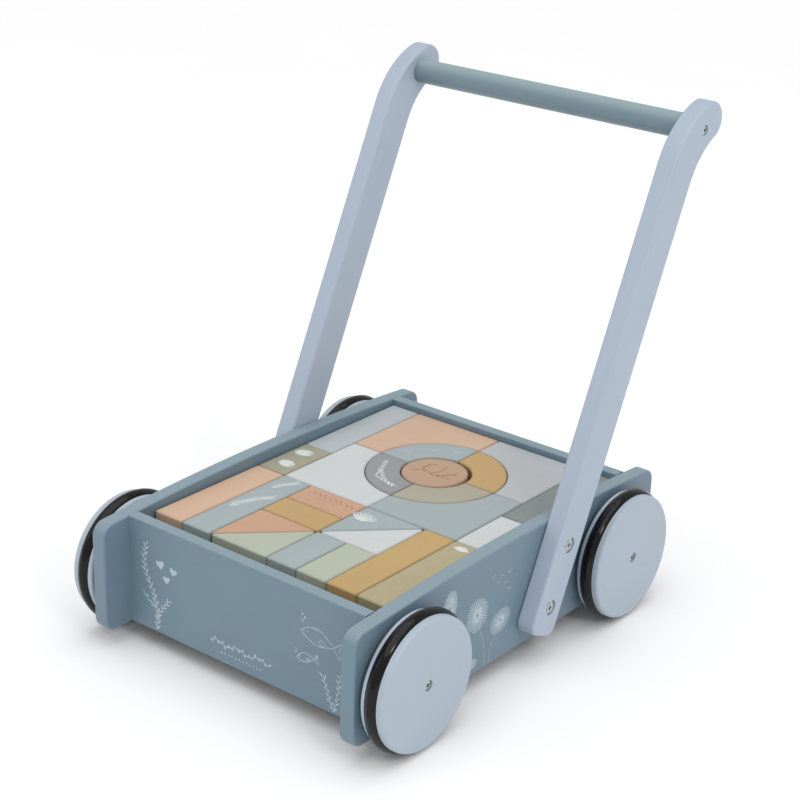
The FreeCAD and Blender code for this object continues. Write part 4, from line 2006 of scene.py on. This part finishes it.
    def print_branch(self, ink: bpy.types.Material) -> None:
        """Prints a bare branch with a few leaves.

        Args:
            ink: The ink.
        """
        drawing = Drawing(self.trees, ink)
        limb = smooth([(-20, -9), (-8, -3), (4, -6), (19, -2)])
        twigs = [
            smooth([(-10, -4), (-14, 5), (-11, 13)]),
            smooth([(-1, -5), (3, 6), (1, 17)]),
            smooth([(6, -5), (13, 3), (17, 10)]),
        ]
        drawing.lines([limb] + twigs, 0.85)
        drawing.leaves(twigs[:1] + twigs[2:], 4.4, 4.2, 46, 0.34, 71)
        self.finish(drawing, "block_disc_peach", "paint_peach")

    def print_seal(self, ink: bpy.types.Material) -> None:
        """Prints a small scallop near the block's far end.

        Args:
            ink: The ink.
        """
        drawing = Drawing(self.trees, ink)
        drawing.rays((-2.0, 50.0), 8.5, 9, 20, 140, 1.0, 0, 0.1, 1.6, 0.9, 73)
        self.finish(drawing, "block_long_sand", "paint_sand")


@dataclass(frozen=True)
class Softbox:
    """A square softbox: where it hangs, its width in metres and its power in watts."""

    name: str
    place: tuple[float, float, float]
    width: float
    power: float


@dataclass
class Studio:
    """The floor, the light and the camera."""

    floor_half: float = 14.0
    softboxes: tuple[Softbox, ...] = (
        Softbox("left_softbox", (-1.5, -2.0, 1.5), 0.7, 4.5),
        Softbox("right_softbox", (2.2, -0.9, 1.9), 0.6, 9.6),
    )
    eye: tuple[float, float, float] = (0.9323, -1.1737, 0.8187)
    aim: tuple[float, float, float] = (0.0217, 0.0219, 0.1921)
    lens: float = 85.123
    shift: Point = (-0.043, 0.0099)
    roll: float = 2.272
    sensor_width: float = 36.0
    nearest: float = 0.05
    diffuser_angle: float = 70.0
    diffuser_power: float = 1.25
    diffuser_tilt: tuple[float, float, float] = (6.0, 9.0, 0.0)
    sky_strength: float = 0.62

    def build(self) -> None:
        """Builds the floor, the lights and the camera."""
        self.floor()
        for softbox in self.softboxes:
            self.light(softbox)
        self.overhead()
        self.sky()
        self.camera()

    def floor(self) -> None:
        """Lays the pale floor."""
        half = self.floor_half
        mesh = bpy.data.meshes.new("floor")
        corners = [(-half, -half, 0), (half, -half, 0), (half, half, 0), (-half, half, 0)]
        mesh.from_pydata(corners, [], [(0, 1, 2, 3)])
        mesh.materials.append(MattPaper().make())
        new_object("floor", mesh)

    def light(self, softbox: Softbox) -> None:
        """Hangs a softbox that looks at the walker's middle.

        Args:
            softbox: Which one.
        """
        lamp = bpy.data.lights.new(softbox.name, "AREA")
        lamp.size = softbox.width
        lamp.energy = softbox.power
        box = bpy.data.objects.new(softbox.name, lamp)
        box.location = softbox.place
        box.rotation_mode = "QUATERNION"
        look = (Vector(self.aim) - Vector(softbox.place)).to_track_quat("-Z", "Y")
        box.rotation_quaternion = look
        bpy.context.scene.collection.objects.link(box)

    def overhead(self) -> None:
        """Lights the whole floor evenly from a wide ceiling diffuser."""
        lamp = bpy.data.lights.new("ceiling_diffuser", "SUN")
        lamp.angle = math.radians(self.diffuser_angle)
        lamp.energy = self.diffuser_power
        hung = bpy.data.objects.new("ceiling_diffuser", lamp)
        hung.rotation_euler = [math.radians(angle) for angle in self.diffuser_tilt]
        bpy.context.scene.collection.objects.link(hung)

    def sky(self) -> None:
        """Surrounds the scene with even white light."""
        world = bpy.data.worlds.new("white_cove")
        world.use_nodes = True
        back = world.node_tree.nodes["Background"]
        back.inputs["Color"].default_value = (1.0, 1.0, 1.0, 1.0)
        back.inputs["Strength"].default_value = self.sky_strength
        bpy.context.scene.world = world
        bpy.context.scene.view_settings.view_transform = "Standard"

    def camera(self) -> None:
        """Sets the camera."""
        lens = bpy.data.cameras.new("camera")
        lens.lens = self.lens
        lens.sensor_width = self.sensor_width
        lens.shift_x, lens.shift_y = self.shift
        lens.clip_start = self.nearest
        view = bpy.data.objects.new("camera", lens)
        view.location = self.eye
        view.rotation_mode = "QUATERNION"
        look = (Vector(self.aim) - Vector(self.eye)).to_track_quat("-Z", "Y")
        view.rotation_quaternion = look @ Quaternion((0.0, 0.0, 1.0), math.radians(self.roll))
        bpy.context.scene.collection.objects.link(view)
        bpy.context.scene.camera = view


def main() -> None:
    """Builds the walker and the studio in order."""
    logging.basicConfig(level=logging.INFO, format="%(name)s: %(message)s")
    trees = ShapeTrees()
    steel = ZincSteel().make()
    Tray(trees).build()
    dress_node("rail_screws", steel)
    Wheels(trees).build(steel)
    Handle(trees).build(steel)
    BlockSet(trees).build()
    Studio().build()


if __name__ == "__main__":
    main()
